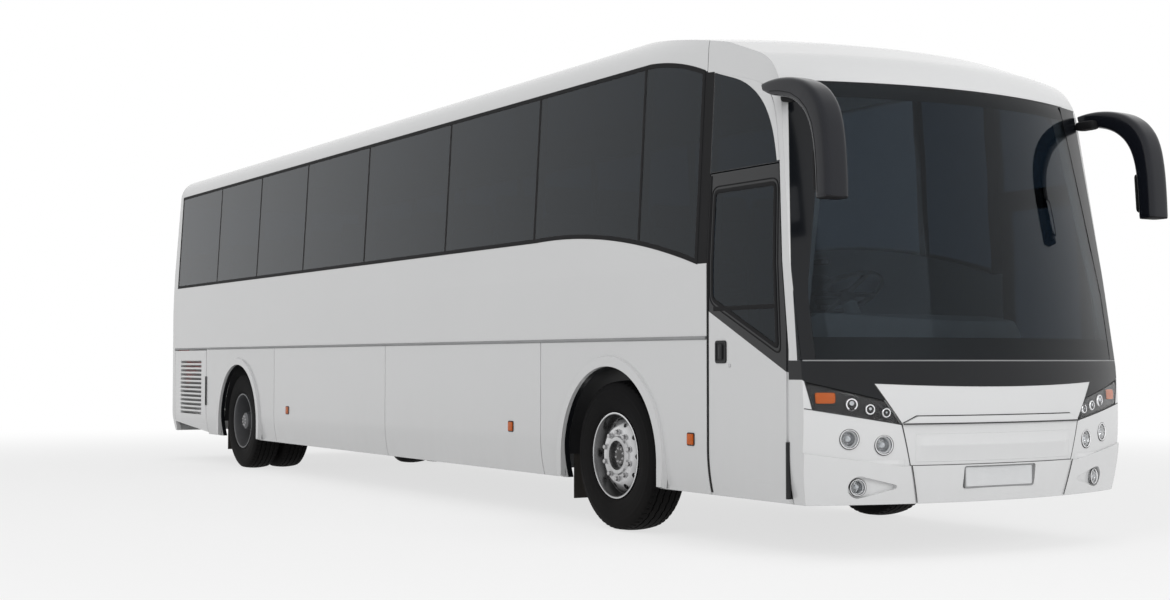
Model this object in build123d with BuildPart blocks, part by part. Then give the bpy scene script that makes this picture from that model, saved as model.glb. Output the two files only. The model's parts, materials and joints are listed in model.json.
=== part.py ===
from build123d import *
from math import cos, radians, sin
import os

os.makedirs("parts", exist_ok=True)

# Frame: X forward, Y to the left, Z up, millimetres, ground at zero
WHEELBASE = 7550
FRONT_OVERHANG = 2350
REAR_OVERHANG = 2450
MIRROR_REACH = 100
BODY_WIDTH = 2500
ROOF_CROWN_Z = 3330
SKIRT_Z = 320
WALL = 50
GLASS = 8
SEAT_GAP = 0.3
DOOR_GAP = 8

HALF_WIDTH = BODY_WIDTH / 2
FRONT_AXLE_X = (WHEELBASE + REAR_OVERHANG - FRONT_OVERHANG - MIRROR_REACH) / 2
REAR_AXLE_X = FRONT_AXLE_X - WHEELBASE
NOSE_X = FRONT_AXLE_X + FRONT_OVERHANG
TAIL_X = REAR_AXLE_X - REAR_OVERHANG
RIGHT = -1
LEFT = 1
SIDES = ((RIGHT, "right"), (LEFT, "left"))

# Cross-section of the body
SKIRT_TUCK = 35
TUCK_Z = 600
LEAN_START_Z = 1700
LEAN = 86
COVE_RADIUS = 220
EAVE_Z = ROOF_CROWN_Z - 98

# Nose, a body of revolution about an upright axis
NOSE_RADIUS = 3100
NOSE_AXIS_X = NOSE_X - NOSE_RADIUS
NOSE_FOOT_TUCK = 70
NOSE_FOOT_Z = 200
NOSE_WIDEST_Z = 980
NOSE_FOOT_RADIUS = 2500
SCREEN_FOOT_Z = 1090
SCREEN_FOOT_BACK = 8
BROW_Z = ROOF_CROWN_Z - 455
BROW_BACK = 290
BROW_RADIUS = 350
DOME_END_Z = ROOF_CROWN_Z - 270
DOME_END_BACK = 750
DOME_START_BACK = 3000
DOME_TOP_Z = ROOF_CROWN_Z + 10

# Tail
TAIL_CORNER_RADIUS = 150
TAIL_FOOT_TUCK = 100
TAIL_WIDEST_Z = 900
TAIL_LEAN_Z = 1400
TAIL_LEAN = 130
TAIL_SEAM_X = TAIL_X + 165

# Levels and stations of the side
BELT_Z = 1268
BELT_RADIUS = 10
WAIST_HEIGHT = 717
PANE_FOOT_Z = BELT_Z + WAIST_HEIGHT
PANE_HEAD_Z = ROOF_CROWN_Z - 280
PANE_START_X = TAIL_X + 207
PANE_JOINT = 10
PILLAR_WIDTH = 60
POST_REAR_X = FRONT_AXLE_X + 1043
CAP_SEAM_X = FRONT_AXLE_X + 1070
POST_FOOT_Z = PANE_FOOT_Z - 263
POST_HEAD_Z = PANE_HEAD_Z - 133
CAP_HEAD_Z = PANE_HEAD_Z - 145
DOOR_POST_HEAD_Z = PANE_HEAD_Z - 153
SCREEN_SILL_Z = 1130
SCREEN_HEAD_Z = BROW_Z - 125
ROOF_CLEAR_Z = ROOF_CROWN_Z + 170
SIDE_CLEAR_Y = HALF_WIDTH + 150

# Doors and flaps
DOOR_REAR_X = FRONT_AXLE_X + 1156
DOOR_FRONT_X = FRONT_AXLE_X + 1954
DOOR_HEAD_FRONT_X = FRONT_AXLE_X + 1837
DOOR_WAIST_Z = 1190
DOOR_HEAD_Z = ROOF_CROWN_Z - 1068
HOLD_FRONT_X = FRONT_AXLE_X - 935
HOLD_REAR_X = REAR_AXLE_X + 1095
HOLD_MID_X = (HOLD_FRONT_X + HOLD_REAR_X) / 2
RADIATOR_FRONT_X = REAR_AXLE_X - 1096
HINGE_RADIUS = 14
LID_FOOT_Z = 560
LID_HEAD_Z = PANE_FOOT_Z - 425
LID_HALF_WIDTH = 930
LID_HINGE_X = TAIL_X + 12
LID_HINGE_Y = 600
LID_HINGE_Z = LID_HEAD_Z + 4

# Running gear
WHEEL_RADIUS = 500
TYRE_WIDTH = 280
RIM_RADIUS = 286
TRACK_Y = 1070
TWIN_Y = 750
KINGPIN_Y = 910
KINGPIN_RADIUS = 25
STUB_RADIUS = 38
RUNNING_FIT = 0.05
ARCH_RADIUS = 612
ARCH_LIP = 80
ARCH_LIP_PROUD = 18
ARCH_Z = 480
RAIL_Y = 500
RAIL_WIDTH = 80

RAIL_IN = RAIL_Y - RAIL_WIDTH / 2
RAIL_OUT = RAIL_Y + RAIL_WIDTH / 2
TOW_X = TAIL_X + 35
TOW_Z = 380
TOW_PLATE = 30
TOW_HALF_WIDTH = 60
TOW_BORE_RADIUS = 20

# Inside
DECK_Z = 1330
DECK = 50
CAB_FLOOR_Z = 850
CAB_REAR_X = FRONT_AXLE_X + 705
HOLD_FLOOR_Z = 400
HOLD_HALF_WIDTH = 1140


def section_face(inset):
    foot_z = SKIRT_Z - 2 * inset - 1
    foot_y = HALF_WIDTH - SKIRT_TUCK
    eave_y = HALF_WIDTH - LEAN
    bulge_y = HALF_WIDTH - SKIRT_TUCK / 4
    mid_z = (SKIRT_Z + TUCK_Z) / 2
    with BuildSketch() as section:
        with BuildLine():
            Polyline((-foot_y, SKIRT_Z), (-foot_y, foot_z), (foot_y, foot_z), (foot_y, SKIRT_Z))
            ThreePointArc((foot_y, SKIRT_Z), (bulge_y, mid_z), (HALF_WIDTH, TUCK_Z))
            Polyline((HALF_WIDTH, TUCK_Z), (HALF_WIDTH, LEAN_START_Z), (eave_y, EAVE_Z))
            ThreePointArc((eave_y, EAVE_Z), (0, ROOF_CROWN_Z), (-eave_y, EAVE_Z))
            Polyline((-eave_y, EAVE_Z), (-HALF_WIDTH, LEAN_START_Z), (-HALF_WIDTH, TUCK_Z))
            ThreePointArc((-HALF_WIDTH, TUCK_Z), (-bulge_y, mid_z), (-foot_y, SKIRT_Z))
        make_face()
        fillet(section.vertices().group_by(Axis.Y)[-1], COVE_RADIUS)
        if inset:
            offset(amount=-inset, mode=Mode.REPLACE)
    return section.sketch


def mitre(before, corner, after, inset):
    arrive = (Vector(*corner) - Vector(*before)).normalized()
    leave = (Vector(*after) - Vector(*corner)).normalized()
    inward = Vector(-arrive.Y - leave.Y, arrive.X + leave.X)
    return Vector(*corner) + inward * (inset / (1 + arrive.dot(leave)))


def nose_face(inset):
    foot = (NOSE_X - NOSE_FOOT_TUCK - inset, NOSE_FOOT_Z - 2 * inset)
    widest = (NOSE_X, NOSE_WIDEST_Z)
    screen_foot = (NOSE_X - SCREEN_FOOT_BACK, SCREEN_FOOT_Z)
    brow = (NOSE_X - BROW_BACK, BROW_Z)
    dome_end = (NOSE_X - DOME_END_BACK, DOME_END_Z)
    dome_start = (NOSE_X - DOME_START_BACK, DOME_TOP_Z - inset)
    inner_widest = (NOSE_X - inset, NOSE_WIDEST_Z)
    inner_screen = mitre(widest, screen_foot, brow, inset)
    inner_brow = mitre(screen_foot, brow, dome_end, inset)
    inner_dome = mitre(brow, dome_end, (2 * dome_end[0] - brow[0], 2 * dome_end[1] - brow[1]), inset)
    with BuildSketch() as profile:
        with BuildLine():
            Polyline(dome_start, (NOSE_AXIS_X, dome_start[1]), (NOSE_AXIS_X, foot[1]), foot)
            RadiusArc(foot, inner_widest, inset - NOSE_FOOT_RADIUS)
            Polyline(inner_widest, inner_screen, inner_brow, inner_dome)
            TangentArc(dome_start, inner_dome, tangent=(1, 0))
        make_face()
        fillet(profile.vertices().sort_by_distance(inner_brow)[0], BROW_RADIUS - inset)
    return profile.sketch


def tail_plan(inset):
    front_x = NOSE_AXIS_X + 250
    with BuildSketch() as plan:
        with BuildLine():
            Polyline(
                (front_x + 2 * inset, -HALF_WIDTH - 20),
                (front_x + 2 * inset, HALF_WIDTH + 20),
                (TAIL_X, HALF_WIDTH + 20),
                (TAIL_X, -HALF_WIDTH - 20),
                close=True,
            )
        make_face()
        fillet(plan.vertices().group_by(Axis.X)[0], TAIL_CORNER_RADIUS)
        if inset:
            offset(amount=-inset, mode=Mode.REPLACE)
    return plan.sketch


def tail_face(inset):
    front_x = NOSE_AXIS_X + 250 + 2 * inset
    with BuildSketch() as profile:
        Polygon(
            (front_x, 100 - 2 * inset),
            (front_x, ROOF_CROWN_Z + 200),
            (TAIL_X + TAIL_LEAN, ROOF_CROWN_Z + 200),
            (TAIL_X, TAIL_LEAN_Z),
            (TAIL_X, TAIL_WIDEST_Z),
            (TAIL_X + TAIL_FOOT_TUCK, SKIRT_Z),
            (TAIL_X + TAIL_FOOT_TUCK, 100 - 2 * inset),
            align=None,
        )
        if inset:
            offset(amount=-inset, mode=Mode.REPLACE)
    return profile.sketch


def envelope(inset, proud=0):
    with BuildPart() as front_half:
        with BuildSketch(Plane.XZ):
            add(nose_face(inset - proud))
        revolve(axis=Axis((NOSE_AXIS_X, 0, 0), (0, 0, 1)), revolution_arc=90)
        mirror(about=Plane.XZ)
        with BuildSketch(Plane.YZ.offset(NOSE_AXIS_X)):
            add(section_face(inset))
        extrude(amount=NOSE_RADIUS + 100, mode=Mode.INTERSECT)
    with BuildPart() as rear_half:
        with BuildSketch():
            add(tail_plan(inset))
        extrude(amount=ROOF_CROWN_Z + 400)
        with BuildSketch(Plane.XZ):
            add(tail_face(inset))
        extrude(amount=BODY_WIDTH, both=True, mode=Mode.INTERSECT)
        with BuildSketch(Plane.YZ.offset(TAIL_X - 100)):
            add(section_face(inset))
        extrude(amount=NOSE_AXIS_X - TAIL_X + 100, mode=Mode.INTERSECT)
    with BuildPart() as body:
        add(front_half.part)
        add(rear_half.part)
    return body.part


def outline(*points):
    with BuildSketch() as face:
        Polygon(*points, align=None)
    return face.sketch


def side_prism(face, side):
    inner = HALF_WIDTH - 350
    outer = SIDE_CLEAR_Y
    with BuildPart() as prism:
        with BuildSketch(Plane.XZ.offset(inner if side == RIGHT else -outer)):
            add(face)
        extrude(amount=outer - inner)
    return prism.part


def front_prism(face, rear_x):
    with BuildPart() as prism:
        with BuildSketch(Plane.YZ.offset(rear_x)):
            add(face)
        extrude(amount=NOSE_X + 200 - rear_x)
    return prism.part


def block(x_min, x_max, y_min, y_max, z_min, z_max):
    with BuildPart() as brick:
        with Locations(((x_min + x_max) / 2, (y_min + y_max) / 2, (z_min + z_max) / 2)):
            Box(x_max - x_min, y_max - y_min, z_max - z_min)
    return brick.part


def write(piece, name):
    piece.label = name
    export_step(piece, "parts/" + name + ".step")


outer_skin = envelope(0)
shell = outer_skin - envelope(WALL)
glazing = outer_skin - envelope(GLASS)
backing = envelope(GLASS + SEAT_GAP) - envelope(WALL)

# Outlines seen from the side
with BuildSketch() as band_sketch:
    with BuildLine():
        curve_x = FRONT_AXLE_X - 1025
        head_x = FRONT_AXLE_X + 411
        post_foot = (POST_REAR_X, POST_FOOT_Z)
        post_head = (POST_REAR_X, POST_HEAD_Z)
        Polyline(
            post_foot,
            post_head,
        )
        ThreePointArc(post_head, (FRONT_AXLE_X + 740, PANE_HEAD_Z - 45), (head_x, PANE_HEAD_Z))
        Polyline(
            (head_x, PANE_HEAD_Z),
            (PANE_START_X, PANE_HEAD_Z),
            (PANE_START_X, PANE_FOOT_Z),
            (curve_x, PANE_FOOT_Z),
        )
        ThreePointArc((curve_x, PANE_FOOT_Z), (FRONT_AXLE_X + 180, PANE_FOOT_Z - 70), post_foot)
    make_face()
glass_band = band_sketch.sketch

with BuildSketch() as quarter_sketch:
    with BuildLine():
        quarter_z = DOOR_HEAD_Z + 12
        quarter_rear = FRONT_AXLE_X + 1156
        quarter_front = DOOR_HEAD_FRONT_X - 4
        quarter_head = (quarter_rear, PANE_HEAD_Z - 160)
        bend_low = (FRONT_AXLE_X + 1770, PANE_HEAD_Z - 440)
        bend_mid = (FRONT_AXLE_X + 1700, PANE_HEAD_Z - 335)
        bend_high = (FRONT_AXLE_X + 1555, PANE_HEAD_Z - 272)
        Polyline(quarter_head, (quarter_rear, quarter_z), (quarter_front, quarter_z), bend_low)
        ThreePointArc(bend_low, bend_mid, bend_high)
        Line(bend_high, quarter_head)
    make_face()
quarter_pane = quarter_sketch.sketch

door_outline = outline(
    (DOOR_REAR_X, SKIRT_Z - 50),
    (DOOR_FRONT_X, SKIRT_Z - 50),
    (DOOR_FRONT_X, DOOR_WAIST_Z),
    (DOOR_HEAD_FRONT_X, DOOR_HEAD_Z),
    (DOOR_REAR_X, DOOR_HEAD_Z),
)
door_hole = offset(door_outline, amount=DOOR_GAP)
DOOR_GLASS_REAR_X = DOOR_REAR_X + 66
DOOR_GLASS_HEAD_Z = DOOR_HEAD_Z - 122
ENTRANCE_GLASS_FOOT_Z = 800
crew_glass = outline(
    (DOOR_GLASS_REAR_X, DOOR_GLASS_HEAD_Z),
    (DOOR_HEAD_FRONT_X - 30, DOOR_GLASS_HEAD_Z),
    (DOOR_FRONT_X - 110, DOOR_HEAD_Z - 1037),
    (DOOR_GLASS_REAR_X, DOOR_HEAD_Z - 754),
)
entrance_glass = outline(
    (DOOR_GLASS_REAR_X, DOOR_GLASS_HEAD_Z),
    (DOOR_HEAD_FRONT_X - 30, DOOR_GLASS_HEAD_Z),
    (DOOR_FRONT_X - 90, ENTRANCE_GLASS_FOOT_Z),
    (DOOR_GLASS_REAR_X, ENTRANCE_GLASS_FOOT_Z),
)
screen_outline = outline(
    (NOSE_X - 310, SCREEN_SILL_Z),
    (NOSE_X + 100, SCREEN_SILL_Z),
    (NOSE_X + 100, SCREEN_HEAD_Z),
    (NOSE_X - 460, SCREEN_HEAD_Z),
)
APRON_REAR_X = DOOR_FRONT_X + DOOR_GAP

# Outlines seen from the front: half widths and levels of the joints between the panels
EDGE_Y = HALF_WIDTH + 50
FLAP_HEAD_Y = 855
FLAP_HEAD_Z = 1000
FLAP_FOOT_Y = 694
FLAP_FOOT_Z = 772
FLAP_LIP = 42
LAMP_TIP_Y = 1238
LAMP_TIP_Z = 1012
LAMP_FOOT_Y = 1202
LAMP_FOOT_Z = 855
LAMP_INNER_Y = 792
LAMP_INNER_Z = 905
EAR_Z = 1066
BUMPER_FOOT_Y = 560
BUMPER_FOOT_Z = 250
CREASE_EDGE_Z = 620
CREASE_MID_Z = 535
CREASE_PROUD = 16
apron_face = outline(
    (-EDGE_Y, SCREEN_SILL_Z - SEAT_GAP),
    (EDGE_Y, SCREEN_SILL_Z - SEAT_GAP),
    (EDGE_Y, EAR_Z),
    (LAMP_TIP_Y, LAMP_TIP_Z),
    (LAMP_INNER_Y, LAMP_INNER_Z),
    (FLAP_HEAD_Y, FLAP_HEAD_Z),
    (-FLAP_HEAD_Y, FLAP_HEAD_Z),
    (-LAMP_INNER_Y, LAMP_INNER_Z),
    (-LAMP_TIP_Y, LAMP_TIP_Z),
    (-EDGE_Y, EAR_Z),
)
flap_face = outline(
    (-FLAP_HEAD_Y, FLAP_HEAD_Z),
    (FLAP_HEAD_Y, FLAP_HEAD_Z),
    (FLAP_FOOT_Y, FLAP_FOOT_Z),
    (-FLAP_FOOT_Y, FLAP_FOOT_Z),
)
lip_face = outline(
    (-FLAP_FOOT_Y + 90, FLAP_FOOT_Z + FLAP_LIP),
    (FLAP_FOOT_Y - 90, FLAP_FOOT_Z + FLAP_LIP),
    (FLAP_FOOT_Y, FLAP_FOOT_Z),
    (-FLAP_FOOT_Y, FLAP_FOOT_Z),
)
bumper_face = outline(
    (-FLAP_FOOT_Y, FLAP_FOOT_Z),
    (FLAP_FOOT_Y, FLAP_FOOT_Z),
    (BUMPER_FOOT_Y, BUMPER_FOOT_Z),
    (-BUMPER_FOOT_Y, BUMPER_FOOT_Z),
)
crease_face = outline(
    (-EDGE_Y, BUMPER_FOOT_Z),
    (-EDGE_Y, CREASE_EDGE_Z),
    (-FLAP_FOOT_Y, CREASE_MID_Z),
    (FLAP_FOOT_Y, CREASE_MID_Z),
    (EDGE_Y, CREASE_EDGE_Z),
    (EDGE_Y, BUMPER_FOOT_Z),
)


def lamp_face(side):
    return outline(
        (side * LAMP_TIP_Y, LAMP_TIP_Z),
        (side * LAMP_FOOT_Y, LAMP_FOOT_Z),
        (side * (FLAP_FOOT_Y + 4), FLAP_FOOT_Z - 2),
        (side * LAMP_INNER_Y, LAMP_INNER_Z),
    )


def corner_face(side):
    return outline(
        (side * EDGE_Y, EAR_Z),
        (side * LAMP_TIP_Y, LAMP_TIP_Z),
        (side * LAMP_FOOT_Y, LAMP_FOOT_Z),
        (side * (FLAP_FOOT_Y + 4), FLAP_FOOT_Z - 2),
        (side * BUMPER_FOOT_Y, BUMPER_FOOT_Z),
        (side * EDGE_Y, BUMPER_FOOT_Z),
    )


def round_face(centre_y, centre_z, radius):
    with BuildSketch() as face:
        with Locations((centre_y, centre_z)):
            Circle(radius)
    return face.sketch


# Roof, cut back to the heads of the windows and to the front cap
with BuildPart() as roof_panel:
    add(shell)
    add(
        block(TAIL_SEAM_X, CAP_SEAM_X, -SIDE_CLEAR_Y, SIDE_CLEAR_Y, PANE_HEAD_Z - 500, ROOF_CLEAR_Z),
        mode=Mode.INTERSECT,
    )
    for side, word in SIDES:
        edge = outline(
            (TAIL_SEAM_X - 50, PANE_FOOT_Z),
            (TAIL_SEAM_X - 50, PANE_HEAD_Z),
            (head_x, PANE_HEAD_Z),
            (POST_REAR_X, POST_HEAD_Z),
            (CAP_SEAM_X + 50, CAP_HEAD_Z),
            (CAP_SEAM_X + 50, PANE_FOOT_Z),
        )
        add(side_prism(edge, side), mode=Mode.SUBTRACT)
        add(side_prism(glass_band, side), mode=Mode.SUBTRACT)
write(roof_panel.part, "roof_panel")

# Front cap: dome, pillars beside the windscreen, surround of the quarter panes
with BuildPart() as front_cap:
    add(shell)
    add(
        block(CAP_SEAM_X, NOSE_X + 100, -SIDE_CLEAR_Y, SIDE_CLEAR_Y, SCREEN_SILL_Z, ROOF_CLEAR_Z),
        mode=Mode.INTERSECT,
    )
    for side, word in SIDES:
        add(side_prism(door_hole, side), mode=Mode.SUBTRACT)
        add(side_prism(quarter_pane, side), mode=Mode.SUBTRACT)
        behind = outline(
            (CAP_SEAM_X - 200, SCREEN_SILL_Z - 130),
            (DOOR_REAR_X - DOOR_GAP, SCREEN_SILL_Z - 130),
            (DOOR_REAR_X - DOOR_GAP, DOOR_POST_HEAD_Z),
            (CAP_SEAM_X, CAP_HEAD_Z),
            (CAP_SEAM_X - 200, CAP_HEAD_Z),
        )
        add(side_prism(behind, side), mode=Mode.SUBTRACT)
    with BuildSketch(Plane.XZ):
        add(screen_outline)
    extrude(amount=SIDE_CLEAR_Y, both=True, mode=Mode.SUBTRACT)
write(front_cap.part, "front_cap")

with BuildPart() as windscreen:
    add(glazing)
    with BuildSketch(Plane.XZ):
        add(offset(screen_outline, amount=-SEAT_GAP))
    extrude(amount=SIDE_CLEAR_Y, both=True, mode=Mode.INTERSECT)
write(windscreen.part, "windscreen")

# Waist panels between the belt rails and the windows
for side, word in SIDES:
    rear_strip = outline(
        (TAIL_SEAM_X, BELT_Z),
        (DOOR_REAR_X - DOOR_GAP, BELT_Z),
        (DOOR_REAR_X - DOOR_GAP, POST_FOOT_Z),
        (POST_REAR_X, POST_FOOT_Z),
        (POST_REAR_X, PANE_FOOT_Z + 215),
        (PANE_START_X, PANE_FOOT_Z + 215),
        (PANE_START_X, PANE_HEAD_Z),
        (TAIL_SEAM_X, PANE_HEAD_Z),
    )
    with BuildPart() as side_panel:
        add(shell)
        add(side_prism(rear_strip, side), mode=Mode.INTERSECT)
        add(side_prism(glass_band, side), mode=Mode.SUBTRACT)
        with BuildSketch(Plane.YZ.offset(TAIL_SEAM_X - 10)):
            with Locations((side * HALF_WIDTH, BELT_Z)):
                Circle(BELT_RADIUS + SEAT_GAP)
        extrude(amount=DOOR_REAR_X - TAIL_SEAM_X + 100, mode=Mode.SUBTRACT)
    write(side_panel.part, word + "_side_panel")

# Belt rails, which are also the hinge rods of the luggage doors
with BuildPart() as belt_rails:
    for side, word in SIDES:
        with BuildSketch(Plane.YZ.offset(TAIL_SEAM_X + 5)):
            with Locations((side * HALF_WIDTH, BELT_Z)):
                Circle(BELT_RADIUS)
        extrude(amount=DOOR_REAR_X - 20 - TAIL_SEAM_X)
write(belt_rails.part, "belt_rails")

# Pillars behind the joints of the panes, and the flush posts behind the doors
PANE_STATIONS = (-8351, -7051, -5724, -4216, -2554, -1065, 359)
JOINTS = [FRONT_AXLE_X + station for station in PANE_STATIONS]
with BuildPart() as joint_slabs:
    for joint_x in JOINTS:
        slab_rear = joint_x - PILLAR_WIDTH / 2
        slab_front = joint_x + PILLAR_WIDTH / 2
        add(block(slab_rear, slab_front, -SIDE_CLEAR_Y, SIDE_CLEAR_Y, POST_FOOT_Z - 200, ROOF_CLEAR_Z))
with BuildPart() as window_pillars:
    for side, word in SIDES:
        add(backing & joint_slabs.part & side_prism(glass_band, side))
        post = outline(
            (POST_REAR_X, POST_FOOT_Z),
            (DOOR_REAR_X - DOOR_GAP, POST_FOOT_Z),
            (DOOR_REAR_X - DOOR_GAP, DOOR_POST_HEAD_Z),
            (CAP_SEAM_X, CAP_HEAD_Z),
            (POST_REAR_X, POST_HEAD_Z),
        )
        add(shell & side_prism(post, side))
write(window_pillars.part, "window_pillars")

# Panes of each side with the quarter pane over the door
for side, word in SIDES:
    edges = [PANE_START_X] + JOINTS + [POST_REAR_X]
    with BuildPart() as windows:
        for start_x, end_x in zip(edges, edges[1:]):
            pane = offset(glass_band, amount=-SEAT_GAP) & outline(
                (start_x + PANE_JOINT / 2, POST_FOOT_Z - 200),
                (end_x - PANE_JOINT / 2, POST_FOOT_Z - 200),
                (end_x - PANE_JOINT / 2, ROOF_CLEAR_Z),
                (start_x + PANE_JOINT / 2, ROOF_CLEAR_Z),
            )
            add(glazing & side_prism(pane, side))
        add(glazing & side_prism(offset(quarter_pane, amount=-SEAT_GAP), side))
        if side == LEFT:
            add(glazing & side_prism(offset(entrance_glass, amount=-SEAT_GAP), side))
    write(windows.part, word + "_windows")

# Doors ahead of the front wheels
with BuildPart() as crew_door:
    add(shell & side_prism(door_outline, RIGHT))
    add(side_prism(crew_glass, RIGHT), mode=Mode.SUBTRACT)
    with BuildSketch(Plane.XY.offset(SKIRT_Z)):
        with Locations((DOOR_FRONT_X, -HALF_WIDTH)):
            Circle(HINGE_RADIUS + SEAT_GAP)
    extrude(amount=DOOR_HEAD_Z, mode=Mode.SUBTRACT)
write(crew_door.part, "crew_door")

with BuildPart() as crew_door_glass:
    add(glazing & side_prism(offset(crew_glass, amount=-SEAT_GAP), RIGHT))
write(crew_door_glass.part, "crew_door_glass")

with BuildPart() as entrance_door:
    add(shell & side_prism(offset(door_hole, amount=-SEAT_GAP), LEFT))
    add(side_prism(entrance_glass, LEFT), mode=Mode.SUBTRACT)
write(entrance_door.part, "entrance_door")

# Skirts: wheel arch panels, rear ones running back to the radiator doors
# Columns: rear end, front end, axle
SKIRT_ROWS = (
    (HOLD_FRONT_X + DOOR_GAP / 2, DOOR_REAR_X - DOOR_GAP, FRONT_AXLE_X),
    (RADIATOR_FRONT_X + DOOR_GAP / 2, HOLD_REAR_X - DOOR_GAP / 2, REAR_AXLE_X),
)
for side, word in SIDES:
    with BuildPart() as skirt:
        for rear_x, front_x, axle_x in SKIRT_ROWS:
            foot_z = SKIRT_Z - 120
            head_z = BELT_Z - DOOR_GAP
            face = outline((rear_x, foot_z), (front_x, foot_z), (front_x, head_z), (rear_x, head_z))
            add(shell & side_prism(face, side))
            lip_plane = Plane.XZ.offset(-side * (HALF_WIDTH - 20))
            with BuildSketch(lip_plane):
                with Locations((axle_x, ARCH_Z)):
                    Circle(ARCH_RADIUS + ARCH_LIP)
                with Locations((axle_x, SKIRT_Z - 1000)):
                    Rectangle(3000, 2000, mode=Mode.SUBTRACT)
            extrude(amount=-side * (20 + ARCH_LIP_PROUD), taper=20)
            with BuildSketch(Plane.XZ):
                with Locations((axle_x, ARCH_Z)):
                    Circle(ARCH_RADIUS)
                with Locations((axle_x, ARCH_Z - 500)):
                    Rectangle(2 * ARCH_RADIUS, 1000)
            extrude(amount=-side * 1500, mode=Mode.SUBTRACT)
        with BuildSketch(Plane.YZ.offset(TAIL_X)):
            with Locations((side * HALF_WIDTH, BELT_Z)):
                Circle(BELT_RADIUS + SEAT_GAP)
        extrude(amount=NOSE_X - TAIL_X, mode=Mode.SUBTRACT)
        with Locations((RADIATOR_FRONT_X, side * HALF_WIDTH, 800)):
            Cylinder(HINGE_RADIUS + SEAT_GAP, 324, mode=Mode.SUBTRACT)
    write(skirt.part, word + "_skirt")

# Luggage doors hang on the belt rails
for side, word in SIDES:
    for rear_x, front_x, place in ((HOLD_REAR_X, HOLD_MID_X, "rear"), (HOLD_MID_X, HOLD_FRONT_X, "front")):
        x_min = rear_x + DOOR_GAP / 2
        x_max = front_x - DOOR_GAP / 2
        foot_z = SKIRT_Z - 120
        head_z = BELT_Z - DOOR_GAP
        face = outline((x_min, foot_z), (x_max, foot_z), (x_max, head_z), (x_min, head_z))
        with BuildPart() as luggage_door:
            add(shell & side_prism(face, side))
            with BuildSketch(Plane.YZ.offset(TAIL_X)):
                with Locations((side * HALF_WIDTH, BELT_Z)):
                    Circle(BELT_RADIUS + SEAT_GAP)
            extrude(amount=NOSE_X - TAIL_X, mode=Mode.SUBTRACT)
        write(luggage_door.part, word + "_" + place + "_luggage_door")

# Radiator doors with their louvres
GRILLE_REAR_X = TAIL_X + 392
GRILLE_FRONT_X = REAR_AXLE_X - 1280
GRILLE_FOOT_Z = 511
GRILLE_HEAD_Z = 1133
LOUVRES = 13
RADIATOR_HEAD_Z = BELT_Z - BELT_RADIUS - DOOR_GAP
for side, word in SIDES:
    face = outline(
        (TAIL_SEAM_X + DOOR_GAP, 430),
        (RADIATOR_FRONT_X - DOOR_GAP / 2, 340),
        (RADIATOR_FRONT_X - DOOR_GAP / 2, RADIATOR_HEAD_Z),
        (TAIL_SEAM_X + DOOR_GAP, RADIATOR_HEAD_Z),
    )
    pitch = (GRILLE_HEAD_Z - GRILLE_FOOT_Z) / LOUVRES
    with BuildPart() as radiator_door:
        add(shell & side_prism(face, side))
        with BuildSketch(Plane.YZ.offset(GRILLE_REAR_X)):
            for louvre in range(LOUVRES):
                slot_z = GRILLE_FOOT_Z + pitch * (louvre + 0.5)
                with Locations((side * (HALF_WIDTH - 20), slot_z)):
                    Rectangle(120, pitch * 0.5, rotation=side * 30)
        extrude(amount=GRILLE_FRONT_X - GRILLE_REAR_X, mode=Mode.SUBTRACT)
        with BuildSketch(Plane.XY.offset(200)):
            with Locations((RADIATOR_FRONT_X, side * HALF_WIDTH)):
                Circle(HINGE_RADIUS + SEAT_GAP)
        extrude(amount=1500, mode=Mode.SUBTRACT)
    write(radiator_door.part, word + "_radiator_door")

# Front panels, the flap with a raised lip and the bumper with a proud lower half
proud_shell = envelope(0, CREASE_PROUD) - envelope(WALL)
with BuildPart() as front_apron:
    add(shell & front_prism(apron_face, APRON_REAR_X))
write(front_apron.part, "front_apron")

with BuildPart() as front_flap:
    add(shell & front_prism(flap_face, APRON_REAR_X))
    add(proud_shell & front_prism(lip_face, APRON_REAR_X))
write(front_flap.part, "front_flap")

PLATE_Z = 462
PLATE_WIDTH = 560
PLATE_HEIGHT = 128
PLATE_DEPTH = 45
with BuildPart() as bumper_centre:
    add(shell & front_prism(bumper_face, APRON_REAR_X))
    add(proud_shell & front_prism(bumper_face & crease_face, APRON_REAR_X))
    with BuildSketch(Plane.YZ.offset(NOSE_X - PLATE_DEPTH)):
        with Locations((0, PLATE_Z)):
            RectangleRounded(PLATE_WIDTH, PLATE_HEIGHT, 14)
    extrude(amount=2 * PLATE_DEPTH + CREASE_PROUD, mode=Mode.SUBTRACT)
write(bumper_centre.part, "bumper_centre")

# Columns: half spacing, level, radius
LAMP_ROWS = ((1000, 690, 56), (800, 655, 56), (935, 418, 48))
FOG_Y, FOG_Z, FOG_RADIUS = LAMP_ROWS[2]
SCOOP_DEPTH = 22
scoop_skin = envelope(0, CREASE_PROUD) - envelope(SCOOP_DEPTH)
with BuildPart() as bumper_corners:
    for side, word in SIDES:
        add(shell & front_prism(corner_face(side), APRON_REAR_X))
        add(proud_shell & front_prism(corner_face(side) & crease_face, APRON_REAR_X))
    for side, word in SIDES:
        with BuildSketch() as scoop:
            with Locations((side * FOG_Y, FOG_Z)):
                Circle(FOG_RADIUS + 14)
            with Locations((side * (FOG_Y - 210), FOG_Z)):
                Circle(12)
            make_hull()
        add(scoop_skin & front_prism(scoop.sketch, APRON_REAR_X), mode=Mode.SUBTRACT)
        for lamp_y, lamp_z, radius in LAMP_ROWS:
            barrel = front_prism(round_face(side * lamp_y, lamp_z, radius + SEAT_GAP), APRON_REAR_X - 100)
            add(barrel, mode=Mode.SUBTRACT)
    with Locations((DOOR_FRONT_X, -HALF_WIDTH, 510)):
        Cylinder(HINGE_RADIUS + SEAT_GAP, 324, mode=Mode.SUBTRACT)
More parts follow.
